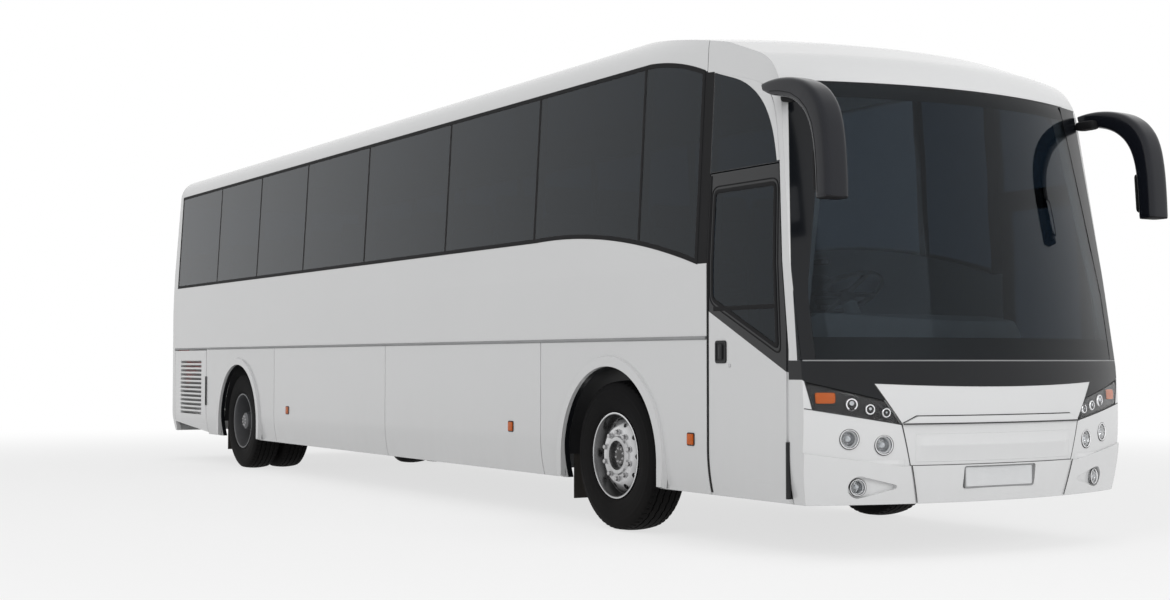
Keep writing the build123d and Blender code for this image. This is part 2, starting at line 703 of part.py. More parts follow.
write(bumper_corners.part, "bumper_corners")

# Round lamps and headlamp units: bulb recesses in a housing set back from the skin
LENS_INSET = 5
HOUSING_INSET = 16
lens_skin = envelope(LENS_INSET) - envelope(WALL)
housing_skin = envelope(HOUSING_INSET) - envelope(WALL)
with BuildPart() as round_lamps:
    for side, word in SIDES:
        for lamp_y, lamp_z, radius in LAMP_ROWS:
            add(lens_skin & front_prism(round_face(side * lamp_y, lamp_z, radius), APRON_REAR_X - 100))
write(round_lamps.part, "round_lamps")

# Columns: half spacing, level, radius
PROJECTOR_ROWS = ((985, 884, 34), (880, 856, 28), (785, 836, 25))
INDICATOR_Y = 1128
INDICATOR_Z = 920
with BuildPart() as headlamps:
    for side, word in SIDES:
        add(housing_skin & front_prism(lamp_face(side), APRON_REAR_X))
        for lamp_y, lamp_z, radius in PROJECTOR_ROWS:
            add(lens_skin & front_prism(round_face(side * lamp_y, lamp_z, radius), APRON_REAR_X))
        with BuildSketch() as indicator:
            with Locations((side * INDICATOR_Y, INDICATOR_Z)):
                RectangleRounded(110, 62, 16)
        add(lens_skin & front_prism(indicator.sketch, APRON_REAR_X))
write(headlamps.part, "headlamps")

# Tail: window, lid and lamp openings in the rear panel
REAR_GLASS_HALF_WIDTH = HALF_WIDTH - 170
REAR_GLASS_FOOT_Z = PANE_FOOT_Z + 15
REAR_GLASS_HEAD_Z = PANE_HEAD_Z - 100
TAIL_LAMP_Y = HALF_WIDTH - 140
TAIL_LAMP_HALF_WIDTH = 60
TAIL_LAMP_FOOT_Z = LID_FOOT_Z + 240
TAIL_LAMP_HEAD_Z = LID_HEAD_Z - 160
TAIL_REAR_X = TAIL_X - 50
TAIL_FRONT_X = TAIL_SEAM_X + 50


def tail_block(y_min, y_max, z_min, z_max, gap=0):
    return block(TAIL_REAR_X, TAIL_FRONT_X, y_min + gap, y_max - gap, z_min + gap, z_max - gap)


def rear_glass_block(gap=0):
    width = REAR_GLASS_HALF_WIDTH
    return tail_block(-width, width, REAR_GLASS_FOOT_Z, REAR_GLASS_HEAD_Z, gap)


def tail_lamp_block(side, gap=0):
    y_min = side * TAIL_LAMP_Y - TAIL_LAMP_HALF_WIDTH
    y_max = side * TAIL_LAMP_Y + TAIL_LAMP_HALF_WIDTH
    return tail_block(y_min, y_max, TAIL_LAMP_FOOT_Z, TAIL_LAMP_HEAD_Z, gap)


lid_hole = tail_block(-LID_HALF_WIDTH, LID_HALF_WIDTH, LID_FOOT_Z, LID_HEAD_Z, -DOOR_GAP)
LID_BARRELS = ((LID_HINGE_X, LID_HINGE_Y, LID_HINGE_Z), (LID_HINGE_X, -LID_HINGE_Y, LID_HINGE_Z))
with BuildPart() as rear_panel:
    add(shell)
    add(
        block(TAIL_REAR_X, TAIL_SEAM_X, -SIDE_CLEAR_Y, SIDE_CLEAR_Y, LID_FOOT_Z - DOOR_GAP, ROOF_CLEAR_Z),
        mode=Mode.INTERSECT,
    )
    add(rear_glass_block(), mode=Mode.SUBTRACT)
    add(lid_hole, mode=Mode.SUBTRACT)
    for side, word in SIDES:
        add(tail_lamp_block(side), mode=Mode.SUBTRACT)
    with Locations(*LID_BARRELS):
        Cylinder(HINGE_RADIUS + SEAT_GAP, 200 + 2 * SEAT_GAP, rotation=(90, 0, 0), mode=Mode.SUBTRACT)
write(rear_panel.part, "rear_panel")

with BuildPart() as rear_window:
    add(glazing & rear_glass_block(SEAT_GAP))
write(rear_window.part, "rear_window")

with BuildPart() as tail_lamps:
    for side, word in SIDES:
        add(shell & tail_lamp_block(side, SEAT_GAP))
write(tail_lamps.part, "tail_lamps")

tow_slot = tail_block(-TOW_HALF_WIDTH, TOW_HALF_WIDTH, TOW_Z, TOW_Z + TOW_PLATE, -SEAT_GAP)
with BuildPart() as rear_bumper:
    add(shell)
    add(
        block(TAIL_REAR_X, TAIL_SEAM_X, -SIDE_CLEAR_Y, SIDE_CLEAR_Y, SKIRT_Z - 120, LID_FOOT_Z - DOOR_GAP),
        mode=Mode.INTERSECT,
    )
    add(tow_slot, mode=Mode.SUBTRACT)
write(rear_bumper.part, "rear_bumper")

# Engine lid with two rows of louvres
LID_LOUVRES = 7
LID_LOUVRE_PITCH = 44
LID_LOUVRE_WIDTH = 560
with BuildPart() as engine_lid:
    add(shell & tail_block(-LID_HALF_WIDTH, LID_HALF_WIDTH, LID_FOOT_Z, LID_HEAD_Z))
    with BuildSketch(Plane.XZ.offset(-LID_HALF_WIDTH + 80)) as left_row:
        for louvre in range(LID_LOUVRES):
            slot_z = LID_FOOT_Z + 130 + louvre * LID_LOUVRE_PITCH
            with Locations((TAIL_X + 40, slot_z)):
                Rectangle(160, LID_LOUVRE_PITCH * 0.5, rotation=25)
    extrude(amount=LID_LOUVRE_WIDTH, mode=Mode.SUBTRACT)
    with BuildSketch(Plane.XZ.offset(LID_HALF_WIDTH - 80)) as right_row:
        add(left_row.sketch_local)
    extrude(amount=-LID_LOUVRE_WIDTH, mode=Mode.SUBTRACT)
    with Locations(*LID_BARRELS):
        Cylinder(HINGE_RADIUS + SEAT_GAP, 200 + 2 * DOOR_GAP, rotation=(90, 0, 0), mode=Mode.SUBTRACT)
write(engine_lid.part, "engine_lid")

# Floors: saloon deck, luggage hold, cab floor and entrance steps
HOLD_PLATE = 40
HOLD_BASE_Z = HOLD_FLOOR_Z - HOLD_PLATE
CAB_FRONT_X = DOOR_FRONT_X - 100
CAB_HALF_WIDTH = HALF_WIDTH - 60
CAB_BASE_Z = CAB_FLOOR_Z - DECK
STEP_IN_Y = 550
STEP_MID_Y = 820
STEP_OUT_Y = 1150
STEP_HIGH_Z = 620
STEP_LOW_Z = 400
STEP = 40
# Columns: rear, front, right, left, base, top
FLOOR_ROWS = (
    (TAIL_SEAM_X + 20, CAB_REAR_X + DECK, -HALF_WIDTH + WALL, HALF_WIDTH - WALL, DECK_Z - DECK, DECK_Z),
    (HOLD_REAR_X + 20, HOLD_FRONT_X - 20, -HOLD_HALF_WIDTH, HOLD_HALF_WIDTH, HOLD_BASE_Z, HOLD_FLOOR_Z),
    (HOLD_REAR_X + 20, HOLD_REAR_X + 60, -HOLD_HALF_WIDTH, HOLD_HALF_WIDTH, HOLD_BASE_Z, DECK_Z),
    (HOLD_FRONT_X - 60, HOLD_FRONT_X - 20, -HOLD_HALF_WIDTH, HOLD_HALF_WIDTH, HOLD_BASE_Z, DECK_Z),
    (HOLD_MID_X - 20, HOLD_MID_X + 20, -HOLD_HALF_WIDTH, HOLD_HALF_WIDTH, HOLD_BASE_Z, DECK_Z),
    (CAB_REAR_X, CAB_REAR_X + DECK, -CAB_HALF_WIDTH, CAB_HALF_WIDTH, CAB_BASE_Z, DECK_Z),
    (CAB_REAR_X, CAB_FRONT_X, -CAB_HALF_WIDTH, STEP_IN_Y + STEP, CAB_BASE_Z, CAB_FLOOR_Z),
    (DOOR_REAR_X, CAB_FRONT_X, STEP_IN_Y, STEP_IN_Y + STEP, STEP_HIGH_Z - STEP, CAB_FLOOR_Z),
    (DOOR_REAR_X, CAB_FRONT_X, STEP_IN_Y, STEP_MID_Y + STEP, STEP_HIGH_Z - STEP, STEP_HIGH_Z),
    (DOOR_REAR_X, CAB_FRONT_X, STEP_MID_Y, STEP_MID_Y + STEP, STEP_LOW_Z - STEP, STEP_HIGH_Z),
    (DOOR_REAR_X, CAB_FRONT_X, STEP_MID_Y, STEP_OUT_Y, STEP_LOW_Z - STEP, STEP_LOW_Z),
    (CAB_REAR_X, DOOR_REAR_X + STEP, STEP_IN_Y, CAB_HALF_WIDTH, CAB_BASE_Z, CAB_FLOOR_Z),
)
with BuildPart() as floors:
    for row in FLOOR_ROWS:
        add(block(*row))
write(floors.part, "floors")

# Chassis rails and cross-members before and behind the luggage hold
FRONT_RAIL_Z = (660, 800)
REAR_RAIL_Z = (860, 1000)
CRADLE_X = TAIL_SEAM_X + 200
CRADLE_Z = (370, 450)
with BuildPart() as chassis_frame:
    for side, word in SIDES:
        y_min, y_max = sorted((side * RAIL_IN, side * RAIL_OUT))
        add(block(HOLD_FRONT_X - 20, DOOR_FRONT_X - 100, y_min, y_max, *FRONT_RAIL_Z))
        add(block(TAIL_SEAM_X + 120, HOLD_REAR_X + 20, y_min, y_max, *REAR_RAIL_Z))
        for post_x in (REAR_AXLE_X - 1900, REAR_AXLE_X - 700, REAR_AXLE_X + 700):
            add(block(post_x - 40, post_x + 40, y_min, y_max, REAR_RAIL_Z[1], DECK_Z - DECK))
    for member_x in (FRONT_AXLE_X - 700, FRONT_AXLE_X + 900, DOOR_FRONT_X - 200):
        add(block(member_x - 40, member_x + 40, -RAIL_IN, RAIL_IN, *FRONT_RAIL_Z))
    for member_x in (REAR_AXLE_X - 550, REAR_AXLE_X + 600):
        add(block(member_x - 40, member_x + 40, -RAIL_IN, RAIL_IN, *REAR_RAIL_Z))
    add(block(CRADLE_X - 40, CRADLE_X + 40, -RAIL_OUT, RAIL_OUT, *CRADLE_Z))
    for side, word in SIDES:
        y_min, y_max = sorted((side * RAIL_IN, side * RAIL_OUT))
        add(block(CRADLE_X - 40, CRADLE_X + 40, y_min, y_max, CRADLE_Z[0], REAR_RAIL_Z[0]))
    add(block(TOW_X - 45, CRADLE_X, -TOW_HALF_WIDTH, TOW_HALF_WIDTH, TOW_Z, TOW_Z + TOW_PLATE))
    with Locations((TOW_X, 0, TOW_Z)):
        Cylinder(TOW_BORE_RADIUS, 4 * TOW_PLATE, mode=Mode.SUBTRACT)
write(chassis_frame.part, "chassis_frame")

with BuildPart() as engine_block:
    add(block(TAIL_SEAM_X + 160, REAR_AXLE_X - 725, -RAIL_IN, RAIL_IN, 450, 1100))
write(engine_block.part, "engine_block")

# Front axle: dropped beam with kingpins, spring pads and trailing rods
with BuildPart() as front_axle:
    beam_x = (FRONT_AXLE_X - 50, FRONT_AXLE_X + 50)
    add(block(*beam_x, -KINGPIN_Y, KINGPIN_Y, WHEEL_RADIUS - 60, WHEEL_RADIUS + 60))
    for side, word in SIDES:
        with Locations((FRONT_AXLE_X, side * KINGPIN_Y, WHEEL_RADIUS)):
            Cylinder(60, 120)
            Cylinder(KINGPIN_RADIUS, 300)
        add(block(FRONT_AXLE_X - 280, FRONT_AXLE_X + 280, side * RAIL_Y - 40, side * RAIL_Y + 40, 500, 560))
        add(block(HOLD_FRONT_X - 20, FRONT_AXLE_X, side * 380 - 25, side * 380 + 25, 455, 505))
write(front_axle.part, "front_axle")

# Rear axle: tube, differential, spring pads and trailing rods
HUB_END_Y = 1140
with BuildPart() as rear_axle:
    with BuildSketch(Plane.XZ.offset(-HUB_END_Y)):
        with Locations((REAR_AXLE_X, WHEEL_RADIUS)):
            Circle(STUB_RADIUS)
    extrude(amount=2 * HUB_END_Y)
    with BuildSketch(Plane.XZ.offset(-580)):
        with Locations((REAR_AXLE_X, WHEEL_RADIUS)):
            Circle(75)
    extrude(amount=1160)
    with BuildSketch(Plane.XZ):
        with Locations((REAR_AXLE_X, WHEEL_RADIUS)):
            Circle(210)
    extrude(amount=130, both=True, taper=15)
    for side, word in SIDES:
        add(block(REAR_AXLE_X - 600, REAR_AXLE_X + 600, side * RAIL_Y - 40, side * RAIL_Y + 40, 560, 640))
        add(block(REAR_AXLE_X, HOLD_REAR_X + 20, side * 380 - 25, side * 380 + 25, 475, 525))
write(rear_axle.part, "rear_axle")

# Columns: station, foot, head
SPRING_ROWS = (
    (FRONT_AXLE_X - 170, 560, FRONT_RAIL_Z[0]),
    (FRONT_AXLE_X + 170, 560, FRONT_RAIL_Z[0]),
    (REAR_AXLE_X - 470, 640, REAR_RAIL_Z[0]),
    (REAR_AXLE_X + 470, 640, REAR_RAIL_Z[0]),
)
with BuildPart() as air_springs:
    for side, word in SIDES:
        for spring_x, foot_z, head_z in SPRING_ROWS:
            with Locations((spring_x, side * RAIL_Y, (foot_z + head_z) / 2)):
                Cylinder(85, head_z - foot_z)
write(air_springs.part, "air_springs")

# Wheel housings, hung from the deck
LINER_RADIUS = ARCH_RADIUS + 8
LINER_IN_Y = 600
LINER_OUT_Y = 1190
with BuildPart() as wheel_housings:
    for axle_x in (FRONT_AXLE_X, REAR_AXLE_X):
        for side, word in SIDES:
            with BuildSketch(Plane.XZ.offset(-LINER_IN_Y if side == LEFT else LINER_OUT_Y)):
                with Locations((axle_x, ARCH_Z)):
                    Circle(LINER_RADIUS + 12)
                    Circle(LINER_RADIUS, mode=Mode.SUBTRACT)
                with Locations((axle_x, ARCH_Z - 500)):
                    Rectangle(1600, 1000, mode=Mode.SUBTRACT)
            extrude(amount=LINER_IN_Y - LINER_OUT_Y)
            y_min, y_max = sorted((side * LINER_IN_Y, side * LINER_OUT_Y))
            add(block(axle_x - 15, axle_x + 15, y_min, y_max, ARCH_Z + LINER_RADIUS + 5, DECK_Z - DECK))
write(wheel_housings.part, "wheel_housings")

with BuildPart() as mud_flaps:
    for axle_x in (FRONT_AXLE_X, REAR_AXLE_X):
        for side, word in SIDES:
            y_min, y_max = sorted((side * 930, side * 1150))
            x_min = axle_x - LINER_RADIUS - 12
            add(block(x_min, x_min + 8, y_min, y_max, 170, ARCH_Z))
write(mud_flaps.part, "mud_flaps")

# Knuckles on the kingpins
LUG_ROWS = ((WHEEL_RADIUS - 140, WHEEL_RADIUS - 65), (WHEEL_RADIUS + 65, WHEEL_RADIUS + 140))
for side, word in SIDES:
    with BuildPart() as knuckle:
        for foot_z, head_z in LUG_ROWS:
            with Locations((FRONT_AXLE_X, side * KINGPIN_Y, (foot_z + head_z) / 2)):
                Cylinder(52, head_z - foot_z)
            y_min, y_max = sorted((side * KINGPIN_Y, side * (KINGPIN_Y + 95)))
            add(block(FRONT_AXLE_X - 50, FRONT_AXLE_X + 50, y_min, y_max, foot_z, head_z))
        y_min, y_max = sorted((side * (KINGPIN_Y + 66), side * (KINGPIN_Y + 95)))
        add(block(FRONT_AXLE_X - 50, FRONT_AXLE_X + 50, y_min, y_max, WHEEL_RADIUS - 140, WHEEL_RADIUS + 140))
        y_min, y_max = sorted((side * (KINGPIN_Y + 90), side * HUB_END_Y))
        with BuildSketch(Plane.XZ.offset(-y_max)):
            with Locations((FRONT_AXLE_X, WHEEL_RADIUS)):
                Circle(STUB_RADIUS)
        extrude(amount=y_max - y_min)
        with Locations((FRONT_AXLE_X, side * KINGPIN_Y, WHEEL_RADIUS)):
            Cylinder(KINGPIN_RADIUS + RUNNING_FIT, 400, mode=Mode.SUBTRACT)
    write(knuckle.part, word + "_knuckle")


# A profile of (distance outward from y_face, radius) turned about the wheel axis
def turned(points, axle_x, y_face, side):
    plane = Plane(origin=(axle_x, side * y_face, WHEEL_RADIUS), x_dir=(0, side, 0), z_dir=(side, 0, 0))
    with BuildPart() as ring:
        with BuildSketch(plane):
            Polygon(*points, align=None)
        revolve(axis=Axis((axle_x, 0, WHEEL_RADIUS), (0, 1, 0)))
    return ring.part


HALF_TYRE = TYRE_WIDTH / 2
BEAD = RIM_RADIUS + SEAT_GAP
TYRE_PROFILE = (
    (-HALF_TYRE + 25, BEAD),
    (HALF_TYRE - 25, BEAD),
    (HALF_TYRE, RIM_RADIUS + 85),
    (HALF_TYRE - 12, WHEEL_RADIUS - 35),
    (HALF_TYRE - 40, WHEEL_RADIUS - 5),
    (0, WHEEL_RADIUS),
    (-HALF_TYRE + 40, WHEEL_RADIUS - 5),
    (-HALF_TYRE + 12, WHEEL_RADIUS - 35),
    (-HALF_TYRE, RIM_RADIUS + 85),
)
BORE = STUB_RADIUS + RUNNING_FIT
# Rim with disc and hub, columns: distance outward from the middle of the tyre, radius
FRONT_RIM = (
    (-HALF_TYRE + 20, RIM_RADIUS),
    (-HALF_TYRE + 20, RIM_RADIUS - 18),
    (20, RIM_RADIUS - 34),
    (62, 215),
    (82, 190),
    (84, 130),
    (-50, 118),
    (-50, BORE),
    (74, BORE),
    (74, 0),
    (92, 0),
    (92, 62),
    (66, 78),
    (66, 92),
    (118, 98),
    (118, 122),
    (104, 130),
    (104, 180),
    (96, 196),
    (74, 232),
    (44, RIM_RADIUS - 28),
    (HALF_TYRE - 22, RIM_RADIUS - 16),
    (HALF_TYRE - 10, RIM_RADIUS - 12),
    (HALF_TYRE - 10, RIM_RADIUS),
)
REAR_RIM = (
    (-HALF_TYRE + 20, RIM_RADIUS),
    (-HALF_TYRE + 20, RIM_RADIUS - 18),
    (-105, RIM_RADIUS - 34),
    (-75, 205),
    (-82, 140),
    (-110, 130),
    (-110, BORE),
    (74, BORE),
    (74, 0),
    (112, 0),
    (112, 62),
    (98, 84),
    (20, 96),
    (20, 122),
    (-58, 128),
    (-58, 180),
    (-55, 205),
    (-85, RIM_RADIUS - 28),
    (HALF_TYRE - 22, RIM_RADIUS - 16),
    (HALF_TYRE - 10, RIM_RADIUS - 12),
    (HALF_TYRE - 10, RIM_RADIUS),
)
INNER_RIM = (
    (-HALF_TYRE + 20, RIM_RADIUS),
    (-HALF_TYRE + 20, RIM_RADIUS - 18),
    (120, RIM_RADIUS - 30),
    (200, 190),
    (200, 150),
    (-80, 150),
    (-80, BORE),
    (209, BORE),
    (209, 190),
    (180, RIM_RADIUS - 8),
    (HALF_TYRE, RIM_RADIUS - 8),
    (HALF_TYRE - 10, RIM_RADIUS),
)
HAND_HOLES = 10
HAND_HOLE_RADIUS = 21
FRONT_HOLE_CIRCLE = 219
REAR_HOLE_CIRCLE = 228


# Ring of hand holes through a disc, drilled between two distances outward from y_face
def hand_holes(axle_x, y_face, side, circle, start, end):
    plane = Plane(origin=(axle_x, side * (y_face + start), WHEEL_RADIUS), x_dir=(1, 0, 0), z_dir=(0, side, 0))
    with BuildPart() as drills:
        with BuildSketch(plane):
            with PolarLocations(circle, HAND_HOLES):
                Circle(HAND_HOLE_RADIUS)
        extrude(amount=end - start)
    return drills.part


for side, word in SIDES:
    with BuildPart() as front_tyre:
        add(turned(TYRE_PROFILE, FRONT_AXLE_X, TRACK_Y, side))
    write(front_tyre.part, word + "_front_tyre")
    with BuildPart() as front_wheel:
        add(turned(FRONT_RIM, FRONT_AXLE_X, TRACK_Y, side))
        add(hand_holes(FRONT_AXLE_X, TRACK_Y, side, FRONT_HOLE_CIRCLE, 36, 110), mode=Mode.SUBTRACT)
    write(front_wheel.part, word + "_front_wheel")
    with BuildPart() as rear_tyres:
        add(turned(TYRE_PROFILE, REAR_AXLE_X, TRACK_Y, side))
        add(turned(TYRE_PROFILE, REAR_AXLE_X, TWIN_Y, side))
    write(rear_tyres.part, word + "_rear_tyres")
    with BuildPart() as rear_wheels:
        add(turned(REAR_RIM, REAR_AXLE_X, TRACK_Y, side))
        add(hand_holes(REAR_AXLE_X, TRACK_Y, side, REAR_HOLE_CIRCLE, -100, -40), mode=Mode.SUBTRACT)
        add(turned(INNER_RIM, REAR_AXLE_X, TWIN_Y, side))
    write(rear_wheels.part, word + "_rear_wheels")

# Mirrors: a flat arm from the pillar head that bends down into a deep head, rounded all along
MIRROR_WIDTH = 165
MIRROR_DEPTH = 105
MIRROR_FRONT_X = NOSE_X + MIRROR_REACH
MIRROR_FOOT_Z = SCREEN_HEAD_Z - 740
MIRROR_ROOT_X = NOSE_X - 590
MIRROR_ROOT_Z = SCREEN_HEAD_Z - 15
MIRROR_ELBOW_Z = SCREEN_HEAD_Z - 62
MIRROR_ARM = 92
MIRROR_BEND = 330
MIRROR_ROUND = 30
MIRROR_FOOT_ROUND = 40
MIRROR_Y = HALF_WIDTH + 18
with BuildSketch() as ear:
    with BuildLine() as ear_line:
        root_head = (MIRROR_ROOT_X, MIRROR_ROOT_Z)
        elbow = (MIRROR_FRONT_X, MIRROR_ELBOW_Z)
        front_foot = (MIRROR_FRONT_X - 12, MIRROR_FOOT_Z)
        rear_foot = (MIRROR_FRONT_X - MIRROR_DEPTH, MIRROR_FOOT_Z)
        inner_elbow = (MIRROR_FRONT_X - MIRROR_DEPTH - 8, MIRROR_ELBOW_Z - MIRROR_ARM)
        root_foot = (MIRROR_ROOT_X, MIRROR_ROOT_Z - MIRROR_ARM)
        Polyline(root_head, elbow, front_foot, rear_foot, inner_elbow, root_foot, close=True)
    make_face()
    fillet(ear.vertices().sort_by_distance(elbow)[0], MIRROR_BEND)
    fillet(ear.vertices().sort_by_distance(inner_elbow)[0], MIRROR_BEND - MIRROR_ARM)
    for corner in (front_foot, rear_foot):
        fillet(ear.vertices().sort_by_distance(corner)[0], MIRROR_FOOT_ROUND)
with BuildPart() as mirrors:
    for side, word in SIDES:
        with BuildSketch(Plane.XZ.offset(-side * MIRROR_Y)):
            add(ear.sketch)
        extrude(amount=MIRROR_WIDTH / 2, both=True)
    lengthwise = mirrors.edges().filter_by(Axis.Y, reverse=True)
    rims = lengthwise.filter_by_position(Axis.X, MIRROR_ROOT_X + 1, MIRROR_FRONT_X + 1)
    fillet(rims, MIRROR_ROUND)
    add(outer_skin, mode=Mode.SUBTRACT)
write(mirrors.part, "mirrors")

# Cab: dashboard with the steering column, and the seats
COLUMN_X = NOSE_X - 660
COLUMN_Y = -600
COLUMN_Z = 1500
COLUMN_TILT = 30
column_plane = Plane(
    origin=(COLUMN_X, COLUMN_Y, COLUMN_Z),
    x_dir=(0, 1, 0),
    z_dir=(-sin(radians(COLUMN_TILT)), 0, cos(radians(COLUMN_TILT))),
)
PIN_RADIUS = 20
PIN_LENGTH = 60
DASH_REAR_X = NOSE_X - 640
DASH_HEAD_Z = 1405
DASH_SHELF_Z = 1200
DASH_FOOT_Z = 1010
DASH_RIGHT_Y = -1150
DASH_LEFT_Y = 330
DASH_CLEAR = 70
SHELF_HALF_WIDTH = 1130
with BuildSketch() as dash_front:
    with Locations(((DASH_RIGHT_Y + DASH_LEFT_Y) / 2, (DASH_FOOT_Z + DASH_HEAD_Z) / 2)):
        Rectangle(DASH_LEFT_Y - DASH_RIGHT_Y, DASH_HEAD_Z - DASH_FOOT_Z)
    fillet(dash_front.vertices().group_by(Axis.Y)[-1], 150)
with BuildSketch() as dash_side:
    with BuildLine():
        dash_back = (DASH_REAR_X, DASH_HEAD_Z - 40)
        dash_top = (DASH_REAR_X + 160, DASH_HEAD_Z)
        dash_nose = (NOSE_X, DASH_HEAD_Z - 110)
        Polyline((NOSE_X, DASH_FOOT_Z), (DASH_REAR_X + 90, DASH_FOOT_Z), dash_back, dash_top)
        TangentArc(dash_top, dash_nose, tangent=(1, 0))
        Line(dash_nose, (NOSE_X, DASH_FOOT_Z))
    make_face()
with BuildPart() as dashboard:
    add(envelope(WALL + DASH_CLEAR) & front_prism(dash_front.sketch, DASH_REAR_X))
    with BuildSketch(Plane.XZ):
        add(dash_side.sketch)
    extrude(amount=HALF_WIDTH, both=True, mode=Mode.INTERSECT)
    shelf = block(NOSE_X - 520, NOSE_X, -SHELF_HALF_WIDTH, SHELF_HALF_WIDTH, DASH_FOOT_Z, DASH_SHELF_Z)
    add(envelope(WALL + SEAT_GAP) & shelf)
    with BuildSketch(column_plane.offset(-560)):
        Circle(45)
    extrude(amount=520)
    with BuildSketch(column_plane.offset(-40)):
        Circle(PIN_RADIUS)
    extrude(amount=PIN_LENGTH)
write(dashboard.part, "dashboard")

WHEEL_RIM_RADIUS = 225
rim_plane = Plane(
    origin=(COLUMN_X, COLUMN_Y, COLUMN_Z),
    x_dir=(0, 1, 0),
    z_dir=(cos(radians(COLUMN_TILT)), 0, sin(radians(COLUMN_TILT))),
)
with BuildPart() as steering_wheel:
    with BuildSketch(rim_plane):
        with Locations((WHEEL_RIM_RADIUS, 40)):
            Circle(16)
    revolve(axis=Axis(column_plane.origin, column_plane.z_dir))
    with BuildSketch(column_plane.offset(-30)):
        Circle(45)
    extrude(amount=75)
    with BuildSketch(column_plane.offset(25)):
        Rectangle(2 * WHEEL_RIM_RADIUS, 36)
        Rectangle(36, 2 * WHEEL_RIM_RADIUS)
    extrude(amount=12)
    with BuildSketch(column_plane.offset(-40)):
        Circle(PIN_RADIUS + RUNNING_FIT)
    extrude(amount=PIN_LENGTH + RUNNING_FIT, mode=Mode.SUBTRACT)
write(steering_wheel.part, "steering_wheel")

# Double seats: columns of the sizes are length along X and height above the floor
SEAT_ROWS = 12
SEAT_PITCH = 780
SEAT_START_X = TAIL_SEAM_X + 190
SEAT_IN_Y = 260
SEAT_OUT_Y = HALF_WIDTH - 90
PAD_LENGTH = 470
PAD_HEIGHT = 120
BACK_LENGTH = 110
BACK_LEAN = 90
SEAT_PLINTH_Z = 320
BACK_HEAD_Z = 1080
CREW_SEAT_X = NOSE_X - 1330
CREW_SEAT_Y = (-850, -370)
CREW_BACK_HEAD_Z = 1250
CREW_PLINTH_Z = 400


def seat(rear_x, y_min, y_max, floor_z, plinth_z, head_z):
    pad_z = floor_z + plinth_z
    profile = outline(
        (rear_x, pad_z),
        (rear_x + PAD_LENGTH, pad_z + 30),
        (rear_x + PAD_LENGTH, pad_z + PAD_HEIGHT + 20),
        (rear_x + BACK_LENGTH, pad_z + PAD_HEIGHT),
        (rear_x + BACK_LENGTH - BACK_LEAN, floor_z + head_z),
        (rear_x - BACK_LEAN, floor_z + head_z),
    )
    foot_mid = (y_min + y_max) / 2
    with BuildPart() as piece:
        with BuildSketch(Plane.XZ.offset(-y_max)):
            add(profile)
        extrude(amount=y_max - y_min)
        add(block(rear_x + 120, rear_x + 380, foot_mid - 60, foot_mid + 60, floor_z, pad_z + 20))
    return piece.part


with BuildPart() as seats:
    for row in range(SEAT_ROWS):
        for side, word in SIDES:
            y_min, y_max = sorted((side * SEAT_IN_Y, side * SEAT_OUT_Y))
            add(seat(SEAT_START_X + row * SEAT_PITCH, y_min, y_max, DECK_Z, SEAT_PLINTH_Z, BACK_HEAD_Z))
    add(seat(CREW_SEAT_X, *CREW_SEAT_Y, CAB_FLOOR_Z, CREW_PLINTH_Z, CREW_BACK_HEAD_Z))
write(seats.part, "seats")

# Hinge barrels of the upright doors
with BuildPart() as door_hinges:
    with Locations((DOOR_FRONT_X, -HALF_WIDTH, 510)):
        Cylinder(HINGE_RADIUS, 320)
    for side, word in SIDES:
        with Locations((RADIATOR_FRONT_X, side * HALF_WIDTH, 800)):
            Cylinder(HINGE_RADIUS, 320)
        with Locations((LID_HINGE_X, side * LID_HINGE_Y, LID_HINGE_Z)):
            Cylinder(HINGE_RADIUS, 200, rotation=(90, 0, 0))
write(door_hinges.part, "door_hinges")
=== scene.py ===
import json
import math

import bmesh
import bpy
import numpy as np
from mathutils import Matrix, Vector

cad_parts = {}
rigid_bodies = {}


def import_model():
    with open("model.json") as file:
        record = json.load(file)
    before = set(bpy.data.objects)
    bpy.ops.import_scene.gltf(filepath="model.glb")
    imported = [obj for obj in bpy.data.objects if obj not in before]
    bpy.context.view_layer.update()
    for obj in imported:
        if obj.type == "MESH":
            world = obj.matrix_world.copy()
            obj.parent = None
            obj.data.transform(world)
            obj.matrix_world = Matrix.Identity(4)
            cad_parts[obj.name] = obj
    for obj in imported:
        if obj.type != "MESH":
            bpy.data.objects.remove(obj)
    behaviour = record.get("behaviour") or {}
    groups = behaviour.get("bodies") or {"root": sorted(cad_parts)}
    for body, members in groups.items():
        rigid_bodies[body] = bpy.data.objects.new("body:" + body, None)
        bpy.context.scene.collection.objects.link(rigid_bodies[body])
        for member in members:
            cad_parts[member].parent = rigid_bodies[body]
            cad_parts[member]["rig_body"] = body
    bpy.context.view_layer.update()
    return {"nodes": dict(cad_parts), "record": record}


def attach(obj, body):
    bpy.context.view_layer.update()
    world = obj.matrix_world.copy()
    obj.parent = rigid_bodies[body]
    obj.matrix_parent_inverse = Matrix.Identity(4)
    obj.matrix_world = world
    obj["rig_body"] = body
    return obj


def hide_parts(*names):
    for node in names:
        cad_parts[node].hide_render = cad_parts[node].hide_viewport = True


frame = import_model()
nodes = frame["nodes"]
print("coach: frame loaded,", len(nodes), "nodes")

